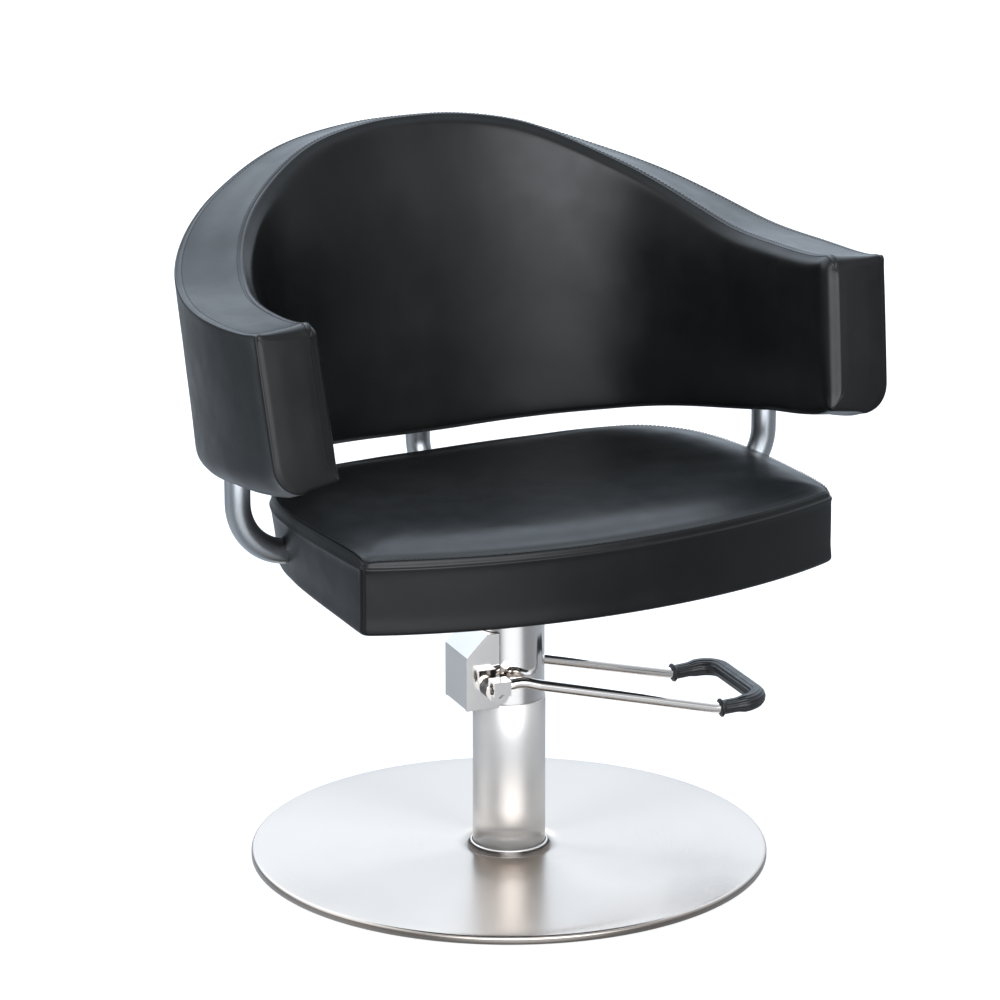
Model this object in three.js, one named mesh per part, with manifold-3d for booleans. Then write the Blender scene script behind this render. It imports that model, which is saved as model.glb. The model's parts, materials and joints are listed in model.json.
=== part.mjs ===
// Hydraulic styling chair: round floor base, pumped column with a foot lever, a swivelling
// seat carried by three bent tubes, and a one-piece wrap-round back that forms both arms.
// Frame: millimetres, +Z up, origin on the floor under the column, the sitter faces -Y.
// Front is -Y and rear +Y; left (-X) and right (+X) are as seen by someone facing the chair.
import * as THREE from "three";
import { mergeVertices } from "three/addons/utils/BufferGeometryUtils.js";
import Module from "manifold-3d";

const wasm = await Module();
wasm.setup();

// ---------------------------------------------------------------- shared dimensions
const GAP = 0.3; // small clearance between neighbouring pieces
const BEND_STEP = 15; // most degrees of bend between two rings of a swept bar

const SLEEVE_R = 40.8; // lower column sleeve
const SLEEVE_Z0 = 13.1;
const SLEEVE_TOP = 186;
const RAM_R = 14; // lifting ram
const RAM_TOP = 352;
const LEVER_AZIMUTH = -6.2; // direction of the foot lever in plan, degrees from +X

const TUBE_R = 14; // bent carrying tubes
const TUBE_BORE_R = 12;
const TUBE_Z = 391; // centre line where the tubes leave the seat
const TUBE_X = 328; // the two side tubes rise here
const TUBE_Y = 3;
const TUBE_REAR_Y = 222; // the rear tube rises here

// ---------------------------------------------------------------- materials
const standard = (look) => new THREE.MeshStandardMaterial(look);
const materials = {
  stainless: standard({ color: 0xc9c9c7, roughness: 0.28, metalness: 1 }),
  chrome: standard({ color: 0xdfe1e3, roughness: 0.06, metalness: 1 }),
  satin: standard({ color: 0xb4b8bb, roughness: 0.32, metalness: 1 }),
  steel: standard({ color: 0x83868a, roughness: 0.45, metalness: 0.9 }),
  iron: standard({ color: 0x3c3e40, roughness: 0.7, metalness: 0.6 }),
  brass: standard({ color: 0xb08d3c, roughness: 0.35, metalness: 1 }),
  blackPlastic: standard({ color: 0x151617, roughness: 0.5, metalness: 0 }),
  rubber: standard({ color: 0x17191a, roughness: 0.62, metalness: 0 }),
  leather: standard({ color: 0x1c1f20, roughness: 0.42, metalness: 0 }),
  wood: standard({ color: 0xb99465, roughness: 0.7, metalness: 0 }),
  cloth: standard({ color: 0x1b1b1c, roughness: 0.9, metalness: 0 }),
};

// ---------------------------------------------------------------- numbers and vectors
const { smoothstep } = THREE.MathUtils;
const rad = (degrees) => (degrees * Math.PI) / 180;
const vec = (x, y, z) => new THREE.Vector3(x, y, z);
const heading = (from, to) => to.clone().sub(from).normalize();
const offset = (point, direction, distance) => point.clone().addScaledVector(direction, distance);

// Monotone cubic through [x, y] knots, level beyond both ends.
function spline(knots) {
  const slopes = knots.slice(1).map(([x, y], i) => (y - knots[i][1]) / (x - knots[i][0]));
  const last = slopes.length - 1;
  const tangents = knots.map((_, i) => {
    if (i === 0 || i > last) return slopes[Math.min(i, last)];
    const before = slopes[i - 1];
    const after = slopes[i];
    return before * after <= 0 ? 0 : (2 * before * after) / (before + after);
  });
  return (x) => {
    const at = Math.min(knots[last + 1][0], Math.max(knots[0][0], x));
    let i = 0;
    while (i < last && at > knots[i + 1][0]) i++;
    const [x0, y0] = knots[i];
    const [x1, y1] = knots[i + 1];
    const span = x1 - x0;
    const t = (at - x0) / span;
    return (
      (1 + 2 * t) * (1 - t) * (1 - t) * y0 +
      t * (1 - t) * (1 - t) * span * tangents[i] +
      t * t * (3 - 2 * t) * y1 +
      t * t * (t - 1) * span * tangents[i + 1]
    );
  };
}

// ---------------------------------------------------------------- solids
// A closed three.js geometry as a solid; turned the right way out if its faces point inwards.
function solid(geometry) {
  geometry.deleteAttribute("normal");
  geometry.deleteAttribute("uv");
  const merged = mergeVertices(geometry, 1e-3);
  const source = merged.index.array;
  const triangles = [];
  for (let i = 0; i < source.length; i += 3) {
    const [a, b, c] = source.slice(i, i + 3);
    if (a !== b && b !== c && a !== c) triangles.push(a, b, c);
  }
  const build = () =>
    new wasm.Manifold(
      new wasm.Mesh({
        numProp: 3,
        vertProperties: new Float32Array(merged.attributes.position.array),
        triVerts: new Uint32Array(triangles),
      }),
    );
  const first = build();
  if (first.volume() >= 0) return first;
  for (let i = 0; i < triangles.length; i += 3)
    [triangles[i + 1], triangles[i + 2]] = [triangles[i + 2], triangles[i + 1]];
  return build();
}

function geometryOf(shape) {
  const mesh = shape.getMesh();
  const stride = mesh.numProp;
  const positions = new Float32Array(mesh.numVert * 3);
  for (let i = 0; i < mesh.numVert; i++)
    positions.set(mesh.vertProperties.subarray(i * stride, i * stride + 3), i * 3);
  const geometry = new THREE.BufferGeometry();
  geometry.setAttribute("position", new THREE.BufferAttribute(positions, 3));
  geometry.setIndex(new THREE.BufferAttribute(new Uint32Array(mesh.triVerts), 1));
  geometry.computeVertexNormals();
  return geometry;
}

const minus = (shape, ...cutters) => cutters.reduce((left, cutter) => left.subtract(cutter), shape);
const plus = (shape, ...others) => others.reduce((sum, other) => sum.add(other), shape);

const box = (x0, x1, y0, y1, z0, z1) =>
  solid(
    new THREE.BoxGeometry(x1 - x0, y1 - y0, z1 - z0).translate(
      (x0 + x1) / 2,
      (y0 + y1) / 2,
      (z0 + z1) / 2,
    ),
  );

// A cylinder between two points.
function rod(from, to, radius, segments) {
  const turn = new THREE.Quaternion().setFromUnitVectors(vec(0, 1, 0), heading(from, to));
  const geometry = new THREE.CylinderGeometry(radius, radius, from.distanceTo(to), segments);
  geometry.applyQuaternion(turn);
  geometry.translate((from.x + to.x) / 2, (from.y + to.y) / 2, (from.z + to.z) / 2);
  return solid(geometry);
}
const upright = (x, y, z0, z1, radius, segments) =>
  rod(vec(x, y, z0), vec(x, y, z1), radius, segments);
const disc = (radius, z0, z1, segments = 32) => upright(0, 0, z0, z1, radius, segments);

// A solid of revolution about +Z from the corners [radius, z] of its section.
function turned(profile, segments) {
  const points = [...profile, profile[0]].map(([r, z]) => new THREE.Vector2(r, z));
  return solid(new THREE.LatheGeometry(points, segments).rotateX(Math.PI / 2));
}
const ring = (inner, outer, z0, z1, segments) =>
  turned([[inner, z0], [outer, z0], [outer, z1], [inner, z1]], segments);

// A polygon of [x, y] points extruded along +Z from the origin plane.
const extruded = (points, depth) =>
  new THREE.ExtrudeGeometry(
    new THREE.Shape(points.map(([x, y]) => new THREE.Vector2(x, y))),
    { depth, bevelEnabled: false },
  );
const prism = (points, z0, z1) => solid(extruded(points, z1 - z0).translate(0, 0, z0));

// A round bar swept along a curve.
function sweep(curve, radius, segments, steps = curve.stations.length - 1) {
  const section = new THREE.Shape();
  section.moveTo(radius, 0);
  for (let i = 1; i < segments; i++) {
    const angle = (2 * Math.PI * i) / segments;
    section.lineTo(radius * Math.cos(angle), radius * Math.sin(angle));
  }
  return solid(
    new THREE.ExtrudeGeometry(section, { steps, extrudePath: curve, bevelEnabled: false }),
  );
}

// A polyline with one radius per inner corner. Its stations are the ends of each straight
// and points through each bend.
class RoundedPath extends THREE.Curve {
  constructor(points, radii) {
    super();
    this.stations = [{ point: points[0].clone(), tangent: heading(points[0], points[1]) }];
    let bendEnd = points[0];
    radii.forEach((radius, i) => {
      const corner = points[i + 1];
      const entry = heading(points[i], corner);
      const exit = heading(corner, points[i + 2]);
      const turn = Math.acos(entry.dot(exit));
      const setback = radius * Math.tan(turn / 2);
      const bendStart = offset(corner, entry, -setback);
      const side = offset(exit, entry, -entry.dot(exit)).normalize();
      const centre = offset(bendStart, side, radius);
      this.addStation(bendStart, entry);
      const arcLength = radius * turn;
      const steps = Math.max(1, Math.ceil(arcLength / radius / rad(BEND_STEP)));
      for (let k = 1; k <= steps; k++) {
        const angle = (arcLength / radius) * (k / steps);
        const across = offset(centre, side, -radius * Math.cos(angle));
        const point = offset(across, entry, radius * Math.sin(angle));
        const forward = entry.clone().multiplyScalar(Math.cos(angle));
        this.addStation(point, offset(forward, side, Math.sin(angle)));
      }
      bendEnd = offset(corner, exit, setback);
    });
    const end = points[points.length - 1];
    this.addStation(end.clone(), heading(bendEnd, end));
  }
  // Stations that coincide with the one before are left out.
  addStation(point, tangent) {
    const previous = this.stations[this.stations.length - 1].point;
    if (point.distanceTo(previous) > 1e-3) this.stations.push({ point, tangent });
  }
  // An extrusion asks for one point and one tangent at each of its steps.
  getSpacedPoints() {
    return this.stations.map(({ point }) => point.clone());
  }
  getTangentAt(u, out = new THREE.Vector3()) {
    return out.copy(this.stations[Math.round(u * (this.stations.length - 1))].tangent);
  }
}

// A skin through closed rings of points, all with the same count, capped at both ends.
function loft(rings) {
  const count = rings[0].length;
  const positions = rings.flat(2);
  const index = [];
  for (let k = 0; k < rings.length - 1; k++) {
    const lower = k * count;
    const upper = lower + count;
    for (let i = 0; i < count; i++) {
      const j = (i + 1) % count;
      index.push(lower + i, lower + j, upper + j, lower + i, upper + j, upper + i);
    }
  }
  const cap = (k, flip) => {
    const middle = [0, 0, 0];
    rings[k].forEach((point) => point.forEach((value, axis) => (middle[axis] += value / count)));
    const hub = positions.length / 3;
    positions.push(...middle);
    for (let i = 0; i < count; i++) {
      const here = k * count + i;
      const next = k * count + ((i + 1) % count);
      index.push(hub, ...(flip ? [here, next] : [next, here]));
    }
  };
  cap(0, false);
  cap(rings.length - 1, true);
  const geometry = new THREE.BufferGeometry();
  geometry.setAttribute("position", new THREE.Float32BufferAttribute(positions, 3));
  geometry.setIndex(index);
  return solid(geometry);
}

// Hexagon-head bolt along +Z: the head hangs below z0, the shank rises to z1.
const bolt = ([x, y], { z0, z1, radius, headRadius, headHeight }) =>
  plus(
    upright(x, y, z0 - headHeight, z0, headRadius, 6),
    upright(x, y, z0 - 0.5, z1, radius, 8),
  );

// The same upright hole at each [x, y] place.
const holes = (places, z0, z1, radius, segments = 8) =>
  places.map(([x, y]) => upright(x, y, z0, z1, radius, segments));

// ---------------------------------------------------------------- groups
const chair = new THREE.Group();
chair.name = "styling_chair";
// Frame of the pump side: +X along the lever, origin on the column axis.
const lever = new THREE.Group();

function put(name, shape, material, parent = chair) {
  const mesh = new THREE.Mesh(geometryOf(shape), material);
  mesh.name = name;
  parent.add(mesh);
}

// ---------------------------------------------------------------- floor base
const BASE_R = 290; // floor disc, outer radius
const BASE_RIM_Z = 9.6; // height of the disc's rim
const BASE_DOME_Z = 12.8; // height of the disc at the column
const COVER_MID_R = 170; // where the slope of the disc changes
const FLANGE_R = 62; // foot of the pump body
const BASE_BOLT_PITCH_R = 50;
const BOLT_HOLE_R = 4.4;

// Centres of the four base bolts, in a frame turned by that many degrees.
const baseBoltPlaces = (frameTurn) =>
  [45, 135, 225, 315].map((angle) => [
    BASE_BOLT_PITCH_R * Math.cos(rad(angle - frameTurn)),
    BASE_BOLT_PITCH_R * Math.sin(rad(angle - frameTurn)),
  ]);
const baseBolts = baseBoltPlaces(0);

put("floor_pad", disc(BASE_R - 8, 0, 2, 48), materials.rubber);
put(
  "ballast_plate",
  minus(
    disc(BASE_R - 4, 2.3, 6.9, 48),
    ...holes(baseBolts, 1, 8, BOLT_HOLE_R, 10),
    ...holes(baseBolts, 1, 4.9, 8.2, 10), // recesses for the bolt heads
  ),
  materials.iron,
);
baseBolts.forEach((place, i) => {
  const size = { z0: 4.6, z1: 10.6, radius: 4, headRadius: 7, headHeight: 2.1 };
  put("base_bolt_" + (i + 1), bolt(place, size), materials.steel);
});
put(
  "base_cover",
  turned(
    [
      [BASE_R, 0.8], [BASE_R, 7.4], [BASE_R - 2.2, BASE_RIM_Z],
      [COVER_MID_R, 11.7], [43, BASE_DOME_Z],
      [43, BASE_DOME_Z - 1.3], [COVER_MID_R, 10.4],
      [BASE_R - 2, 8.2], [BASE_R - 2, 0.8],
    ],
    64,
  ),
  materials.stainless,
);

// ---------------------------------------------------------------- column and pump
const BODY_R = 39.6; // pump body above the sleeve
const BODY_TOP = 318; // top of the gland nut that closes it
const BODY_BORE_R = 23.6; // bore of the body, around the cylinder
const CYLINDER_BORE_R = 19;
const CYLINDER_TOP = 305.7;
const PISTON_R = CYLINDER_BORE_R - 0.4;
const PIVOT_X = -34; // lever pivot, along the lever direction from the column axis
const PIVOT_Z = 206.5;
const PIVOT_HOLE_R = 6.3; // running fit on the pivot shaft
const PLUNGER_X = -52;

// A cylinder across the lever's frame, at the height of the pivot.
const crossRod = (y0, y1, radius, segments, x = PIVOT_X) =>
  rod(vec(x, y0, PIVOT_Z), vec(x, y1, PIVOT_Z), radius, segments);

put("column_sleeve", ring(SLEEVE_R - 1.3, SLEEVE_R, SLEEVE_Z0, SLEEVE_TOP, 48), materials.chrome);
put("column_foot_ring", ring(SLEEVE_R + 0.5, 43.6, SLEEVE_Z0, 15.2, 32), materials.chrome);

lever.rotation.z = rad(LEVER_AZIMUTH);
chair.add(lever);

// The pump body is drawn in the lever's frame, so that its cross bore lines up with the pivot.
function pumpBody() {
  const column = minus(
    plus(
      ring(BODY_BORE_R, SLEEVE_R - 1.7, 12.4, SLEEVE_TOP + 1, 32), // inside the sleeve
      ring(BODY_BORE_R, FLANGE_R, 7.3, 10.9, 32), // flange
      ring(BODY_BORE_R, 37, 10.5, 12.6, 32), // neck above the flange
      ring(BODY_BORE_R, BODY_R, SLEEVE_TOP + GAP, 306, 48), // above the sleeve
    ),
    ...holes(baseBoltPlaces(LEVER_AZIMUTH), 6, 12, BOLT_HOLE_R),
  );
  const lug = minus(box(-60.5, -26, -22, 22, 188, 244), disc(BODY_BORE_R, 180, 250));
  return minus(
    plus(column, lug),
    box(-70, -25.6, -9, 9, 190, 226), // slot for the cam
    crossRod(-45, 45, 6.15, 20), // pivot bore
    upright(PLUNGER_X, 0, 220, 250, 5.3, 16), // plunger barrel
    upright(PLUNGER_X, 0, 220, 233.4, 7.6, 24), // spring pocket
  );
}
put("pump_body", pumpBody(), materials.chrome, lever);

put(
  "pump_cylinder",
  turned(
    [
      [0, 13.2], [23.1, 13.2], [23.1, CYLINDER_TOP],
      [CYLINDER_BORE_R, CYLINDER_TOP], [CYLINDER_BORE_R, 18], [0, 18],
    ],
    32,
  ),
  materials.steel,
);
put("gland_nut", ring(RAM_R + 0.6, BODY_R, 306.3, BODY_TOP, 48), materials.chrome);
put("ram_wiper", ring(RAM_R + 0.6, 19.5, BODY_TOP + GAP, BODY_TOP + 3, 24), materials.rubber);
put("ram_guide_bush", ring(RAM_R + 0.1, PISTON_R, 286, 305.9, 32), materials.brass);

// Ram, piston and the seal in the piston's groove.
put("ram_rod", disc(RAM_R, 66.3, RAM_TOP), materials.chrome);
put(
  "piston_head",
  turned(
    [
      [0, 50], [PISTON_R, 50], [PISTON_R, 54], [16, 54],
      [16, 59], [PISTON_R, 59], [PISTON_R, 66], [0, 66],
    ],
    24,
  ),
  materials.steel,
);
put("piston_seal", ring(16.4, PISTON_R, 54.3, 58.7, 24), materials.rubber);

// ---------------------------------------------------------------- pump cover
const COVER_HALF = 33; // half width
const COVER_BACK = 63.5; // reach of the cover from the column axis, towards -X
const COVER_SHOULDER = 39; // the same for the upper end of its sloping face
const COVER_Z0 = 183.2; // foot, lower and upper ends of the sloping face
const COVER_Z1 = 245;
const COVER_Z2 = 269.6;
const COVER_SHEET = 1.5;
const COVER_MITRE = 0.41; // shift of a bend line per unit of inset

// Side profile of the cover thickened to both sides of the lever's plane.
function coverBlock(inset, bottom) {
  const halfWidth = COVER_HALF - inset;
  const profile = [
    [-COVER_BACK + inset, bottom],
    [-COVER_BACK + inset, COVER_Z1 - inset * COVER_MITRE],
    [-COVER_SHOULDER + inset * COVER_MITRE, COVER_Z2 - inset],
    [0, COVER_Z2 - inset],
    [0, bottom],
  ];
  // Stand the profile in the XZ plane, its thickness along Y.
  return solid(extruded(profile, 2 * halfWidth).rotateX(Math.PI / 2).translate(0, halfWidth, 0));
}
put(
  "pump_cover",
  minus(
    coverBlock(0, COVER_Z0),
    coverBlock(COVER_SHEET, COVER_Z0 - 20), // hollow, open below
    disc(SLEEVE_R + GAP, 150, 300, 64),
    box(-80, -18, -28, 28, 150, COVER_Z0 + 1), // notch in the lower edge
    crossRod(-50, 50, 8.4, 24), // holes for the bushes
  ),
  materials.chrome,
  lever,
);

// Which way along Y each end of the pivot shaft lies.
const SHAFT_ENDS = Object.entries({ front: -1, rear: 1 });
for (const [end, side] of SHAFT_ENDS)
  put(
    "pivot_bush_" + end,
    minus(
      plus(
        crossRod(side * 30.4, side * (COVER_HALF + 0.5), 8, 16),
        crossRod(side * (COVER_HALF + 0.3), side * 42.5, 10.4, 20), // collar outside the cover
      ),
      crossRod(side * 10, side * 60, PIVOT_HOLE_R, 16),
    ),
    materials.blackPlastic,
    lever,
  );

// ---------------------------------------------------------------- foot lever
const LEVER_ROD_R = 6.2;
const OUTER_CORNER = vec(282, 68.6, 165.6); // where the rod turns across its outer end
const OUTER_BEND_R = 24;
// Corners of the rear half of the rod, from its end by the pivot outwards.
const LEVER_HALF = [
  vec(-38, 58, 215.6),
  vec(-8, 58.6, 219.6),
  vec(12, 60, 213.6),
  vec(226.9, 66.9, 161.8),
  OUTER_CORNER,
];
const onSide = (point, side) => vec(point.x, side * point.y, point.z);
// A U-shaped path from its +Y half and that half's bend radii.
const uPath = (half, radii) =>
  new RoundedPath(
    [...half, ...half.toReversed().map((point) => onSide(point, -1))],
    [...radii, ...radii.toReversed()],
  );

put("pivot_shaft", crossRod(-50, 50, 6, 20), materials.steel, lever);
put(
  "cam_arm",
  minus(
    plus(
      crossRod(-6, 6, 8, 16),
      box(PLUNGER_X, PIVOT_X, -6, 6, PIVOT_Z - 3.6, PIVOT_Z + 3.6),
      crossRod(-6, 6, 4.4, 12, PLUNGER_X),
    ),
    crossRod(-10, 10, PIVOT_HOLE_R, 16),
  ),
  materials.steel,
  lever,
);
const leverPath = uPath(LEVER_HALF, [40, 40, 60, OUTER_BEND_R]);
put("lever_rod", sweep(leverPath, LEVER_ROD_R, 12), materials.chrome, lever);

// A hub joins each end of the rod to the pivot shaft, with a screw along the shaft's axis.
function leverHub(side) {
  const [y0, y1] = [side * 47, side * 65.5].sort((a, b) => a - b);
  // The rod's own path, run on past its end so that it cuts right through.
  const rodPath = new RoundedPath(
    [vec(-60, 57.6, 212.7), ...LEVER_HALF.slice(0, 3)].map((point) => onSide(point, side)),
    [40, 40],
  );
  return minus(
    plus(crossRod(side * 43, side * 58.5, 10.6, 20), box(-43.5, -23.5, y0, y1, 207, 224)),
    crossRod(side * 30, side * 50.6, PIVOT_HOLE_R, 16),
    crossRod(side * 48, side * 70, 3.2, 12),
    sweep(rodPath, LEVER_ROD_R + 0.4, 12),
  );
}
for (const [end, side] of SHAFT_ENDS) {
  put("lever_hub_" + end, leverHub(side), materials.chrome, lever);
  put(
    "lever_screw_" + end,
    minus(crossRod(side * 50.9, side * 57.4, 2.9, 12), crossRod(side * 54.4, side * 60, 1.6, 6)),
    materials.steel,
    lever,
  );
}

// Moulded grip on the outer end of the rod, with a collar at each end and a thicker tread.
const GRIP_START = vec(227.4, 66.9, 161.8);
const TREAD_START = vec(250, 67.6, 163.4);
const COLLAR_AT = vec(229, 67, 161.9);
function gripCollar(side) {
  const centre = onSide(COLLAR_AT, side);
  const along = onSide(heading(GRIP_START, OUTER_CORNER), side);
  return rod(offset(centre, along, -1.6), offset(centre, along, 2.4), 10.8, 14);
}
put(
  "lever_grip",
  minus(
    plus(
      sweep(uPath([GRIP_START, OUTER_CORNER], [OUTER_BEND_R]), 8.6, 10),
      sweep(uPath([TREAD_START, OUTER_CORNER], [OUTER_BEND_R]), 10.4, 10),
      gripCollar(1),
      gripCollar(-1),
    ),
    sweep(leverPath, LEVER_ROD_R + 0.8, 8),
  ),
  materials.rubber,
  lever,
);

// ---------------------------------------------------------------- plunger over the cam
const SPRING = { radius: 6.5, wireR: 0.8, turns: 3, z0: 215.2, height: 9.8 };
put(
  "plunger",
  turned([[0, 211.7], [7.6, 211.7], [7.6, 214.2], [5, 214.2], [5, 240], [0, 240]], 16).translate([
    PLUNGER_X, 0, 0,
  ]),
  materials.steel,
  lever,
);
class SpringHelix extends THREE.Curve {
  getPoint(t, out = new THREE.Vector3()) {
    const angle = 2 * Math.PI * SPRING.turns * t;
    return out.set(
      PLUNGER_X + SPRING.radius * Math.cos(angle),
      SPRING.radius * Math.sin(angle),
      SPRING.z0 + SPRING.height * t,
    );
  }
}
put("plunger_spring", sweep(new SpringHelix(), SPRING.wireR, 5, 27), materials.steel, lever);

// ---------------------------------------------------------------- supports of the back
// For each carrying tube: its path and bend, the bore in the seat frame that takes it, the
// grub screw that clamps it, and the upright socket on its top end, pinned along `outward`.
const sideSupport = (side) => ({
  path: [
    vec(side * 140, TUBE_Y, TUBE_Z),
    vec(side * TUBE_X, TUBE_Y, TUBE_Z),
    vec(side * TUBE_X, TUBE_Y, 585),
  ],
  bend: 62,
  bore: [vec(side * 110, TUBE_Y, TUBE_Z), vec(side * 300, TUBE_Y, TUBE_Z)],
  grub: [side * 180, TUBE_Y],
  socket: { x: side * TUBE_X, y: TUBE_Y, z0: 512, z1: 590, outward: vec(side, 0, 0) },
});
const SUPPORTS = {
  left: sideSupport(-1),
  right: sideSupport(1),
  rear: {
    path: [vec(0, 40, TUBE_Z), vec(0, TUBE_REAR_Y, TUBE_Z), vec(0, TUBE_REAR_Y, 560)],
    bend: 40,
    bore: [vec(0, 36, TUBE_Z), vec(0, 190, TUBE_Z)],
    grub: [0, 84],
    socket: { x: 0, y: TUBE_REAR_Y, z0: 478, z1: 566, outward: vec(0, 1, 0) },
  },
};
const supports = Object.values(SUPPORTS);
const sockets = supports.map(({ socket }) => socket);

// A cylinder on the pin axis of a socket, between two distances outwards from the tube's axis.
function pinRod({ x, y, z0, z1, outward }, radius, from, to, segments) {
  const centre = vec(x, y, (z0 + z1) / 2 + 14);
  return rod(offset(centre, outward, from), offset(centre, outward, to), radius, segments);
}
const pinHole = (socket) => pinRod(socket, 3.4, -30, 30, 12);

const solidTube = ({ path, bend }, radius, segments) =>
  sweep(new RoundedPath(path, [bend]), radius, segments);
function carryingTube(support) {
  const [start, corner, end] = support.path;
  // The bore runs past both ends of the tube.
  const path = [offset(start, heading(start, corner), -5), corner, offset(end, vec(0, 0, 1), 5)];
  return minus(
    solidTube(support, TUBE_R, 16),
    solidTube({ path, bend: support.bend }, TUBE_BORE_R, 8),
    pinHole(support.socket),
  );
}

// ---------------------------------------------------------------- seat
const SEAT_Z0 = 358;
const SEAT_SEAM = 433;
const SEAT_TOP = 453.5;
const SEAT_FRONT_Y = -214; // level of the front corners
const SEAT_BOW = 62; // how far the front edge bows out between its corners
const SEAT_HALF_WIDTH = 289; // half width on which the bow is drawn
const SEAT_CENTRE_Y = -72; // the outline is scaled about this point
const FRAME_Z0 = 374.9;
const FRAME_Z1 = 407.4;
const PLATE_HALF = 80; // square plates of the frame and the swivel
const SEAT_BOLT_OFFSET = 60;

// Side edge of the seat: [y, x].
const seatSideX = spline([
  [-214, 288.4], [-150, 289.5], [-100, 290], [-50, 289],
  [0, 284], [45, 272], [80, 252], [105, 228],
]);
// Rear corner and rear edge, to the middle: [x, y].
const SEAT_REAR = [[241, 92], [216, 111], [181, 121], [130, 126], [60, 128], [0, 128]];

// Plan of the seat, scaled.
function seatOutline(scale) {
  const half = [];
  for (let i = 0; i <= 8; i++) {
    const x = (278 * i) / 8;
    half.push([x, SEAT_FRONT_Y - SEAT_BOW * (1 - (x / SEAT_HALF_WIDTH) ** 2) ** 0.9]);
  }
  half.push([286, -212], [288.6, -206]);
  for (const y of [-170, -110, -50, 10, 60]) half.push([seatSideX(y), y]);
  half.push(...SEAT_REAR);
  const mirrored = half.slice(1, -1).reverse().map(([x, y]) => [-x, y]);
  return [...half, ...mirrored].map(([x, y]) => [
    x * scale,
    SEAT_CENTRE_Y + (y - SEAT_CENTRE_Y) * scale,
  ]);
}

// Levels of the cushion: [scale of the outline, z].
const SEAT_RINGS = [
  [0.965, SEAT_Z0],
  [0.99, SEAT_Z0 + 3],
  [1.0, SEAT_Z0 + 10],
  [1.0, SEAT_SEAM - 3],
  [0.996, SEAT_SEAM],
  [0.985, SEAT_SEAM + 8],
  [0.955, SEAT_SEAM + 13.5],
  [0.88, SEAT_SEAM + 17],
  [0.7, SEAT_SEAM + 18.8],
  [0.3, SEAT_TOP],
];

const seatBolts = [-1, 1].flatMap((row) =>
  [-1, 1].map((column) => [column * SEAT_BOLT_OFFSET, TUBE_Y + row * SEAT_BOLT_OFFSET]),
);
const grubPlaces = supports.map(({ grub }) => grub);

// Square plate centred between the side tubes; `grow` widens it all round.
const squarePlate = (z0, z1, grow = 0) => {
  const half = PLATE_HALF + grow;
  return box(-half, half, TUBE_Y - half, TUBE_Y + half, z0, z1);
};
// Cross bar, rear arm and plate of the frame.
const frameParts = (z0, grow = 0) => {
  const half = 18 + grow;
  const top = FRAME_Z1 + grow;
  return [
    box(-205 - grow, 205 + grow, TUBE_Y - half, TUBE_Y + half, z0, top),
    box(-half, half, TUBE_Y, 104 + grow, z0, top),
    squarePlate(z0, FRAME_Z0 + 8 + grow, grow),
  ];
};

put(
  "seat_frame",
  minus(
    plus(...frameParts(FRAME_Z0)),
    ...supports.map(({ bore: [from, to] }) => rod(from, to, TUBE_R + 0.6, 16)),
    ...holes(seatBolts, 370, 385, BOLT_HOLE_R),
    ...holes(grubPlaces, 370, 380, BOLT_HOLE_R),
  ),
  materials.steel,
);
for (const [place, support] of Object.entries(SUPPORTS))
  put("carrying_tube_" + place, carryingTube(support), materials.satin);
put(
  "seat_board",
  minus(
    prism(seatOutline(0.92), 360.6, 374.6),
    ...holes(seatBolts, 350, 380, 4.8),
    ...holes(grubPlaces, 350, 380, 5.8),
  ),
  materials.wood,
);
put(
  "seat_dust_cover",
  minus(prism(seatOutline(0.915), 358.7, 360.2), ...holes(seatBolts, 350, 380, 4.8)),
  materials.cloth,
);
// Grub screws clamp the tubes in the frame, reached from below through the board.
for (const [place, { grub: [x, y] }] of Object.entries(SUPPORTS))
  put(
    "tube_grub_screw_" + place,
    minus(upright(x, y, 368, 376.6, 4, 8), upright(x, y, 365, 371, 2.2, 6)),
    materials.steel,
  );
put(
  "seat_cushion",
  minus(
    loft(SEAT_RINGS.map(([scale, z]) => seatOutline(scale).map(([x, y]) => [x, y, z]))),
    prism(seatOutline(0.925), 350, FRAME_Z0 - 0.1), // room for the board
    ...frameParts(FRAME_Z0 - 1, 0.4),
    ...supports.map((support) => solidTube(support, TUBE_R + 1, 10)),
  ),
  materials.leather,
);

// The socket under the swivel plate turns on the head of the ram.
put(
  "swivel_plate",
  minus(
    plus(squarePlate(351.6, 358.3), disc(26, 330, 352)),
    disc(RAM_R + 0.1, 300, RAM_TOP + GAP),
    ...holes(seatBolts, 340, 365, BOLT_HOLE_R),
  ),
  materials.steel,
);
put("thrust_washer", ring(RAM_R + GAP, 25, 326, 329.7, 32), materials.brass);
seatBolts.forEach((place, i) => {
  const size = { z0: 351.3, z1: 381, radius: 4, headRadius: 7.2, headHeight: 5 };
  put("seat_bolt_" + (i + 1), bolt(place, size), materials.steel);
});

// ---------------------------------------------------------------- wrap-round back
// Its wall follows a superellipse in plan. Angles are degrees round the plan, 0 at the arms
// and 90 at the rear; depths are measured inwards from the outer face.
const WALL = 78; // thickness at the arms
const WALL_REAR = 68; // and at the rear
const ARM_SWELL = 6; // how far the outer face swells behind the arm fronts
const ARM_DROP = 7; // how much lower the outer bottom edge of an arm is than the inner one
const PLAN = {
  halfWidth: 382,
  halfDepth: 385,
  centreY: -118,
  exponent: 2.65,
  z: 668, // level at which these sizes hold
  flare: 0.06, // growth of both half sizes per unit of height
  lean: 0.109, // rearward shift per unit of height above that level
};

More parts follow.
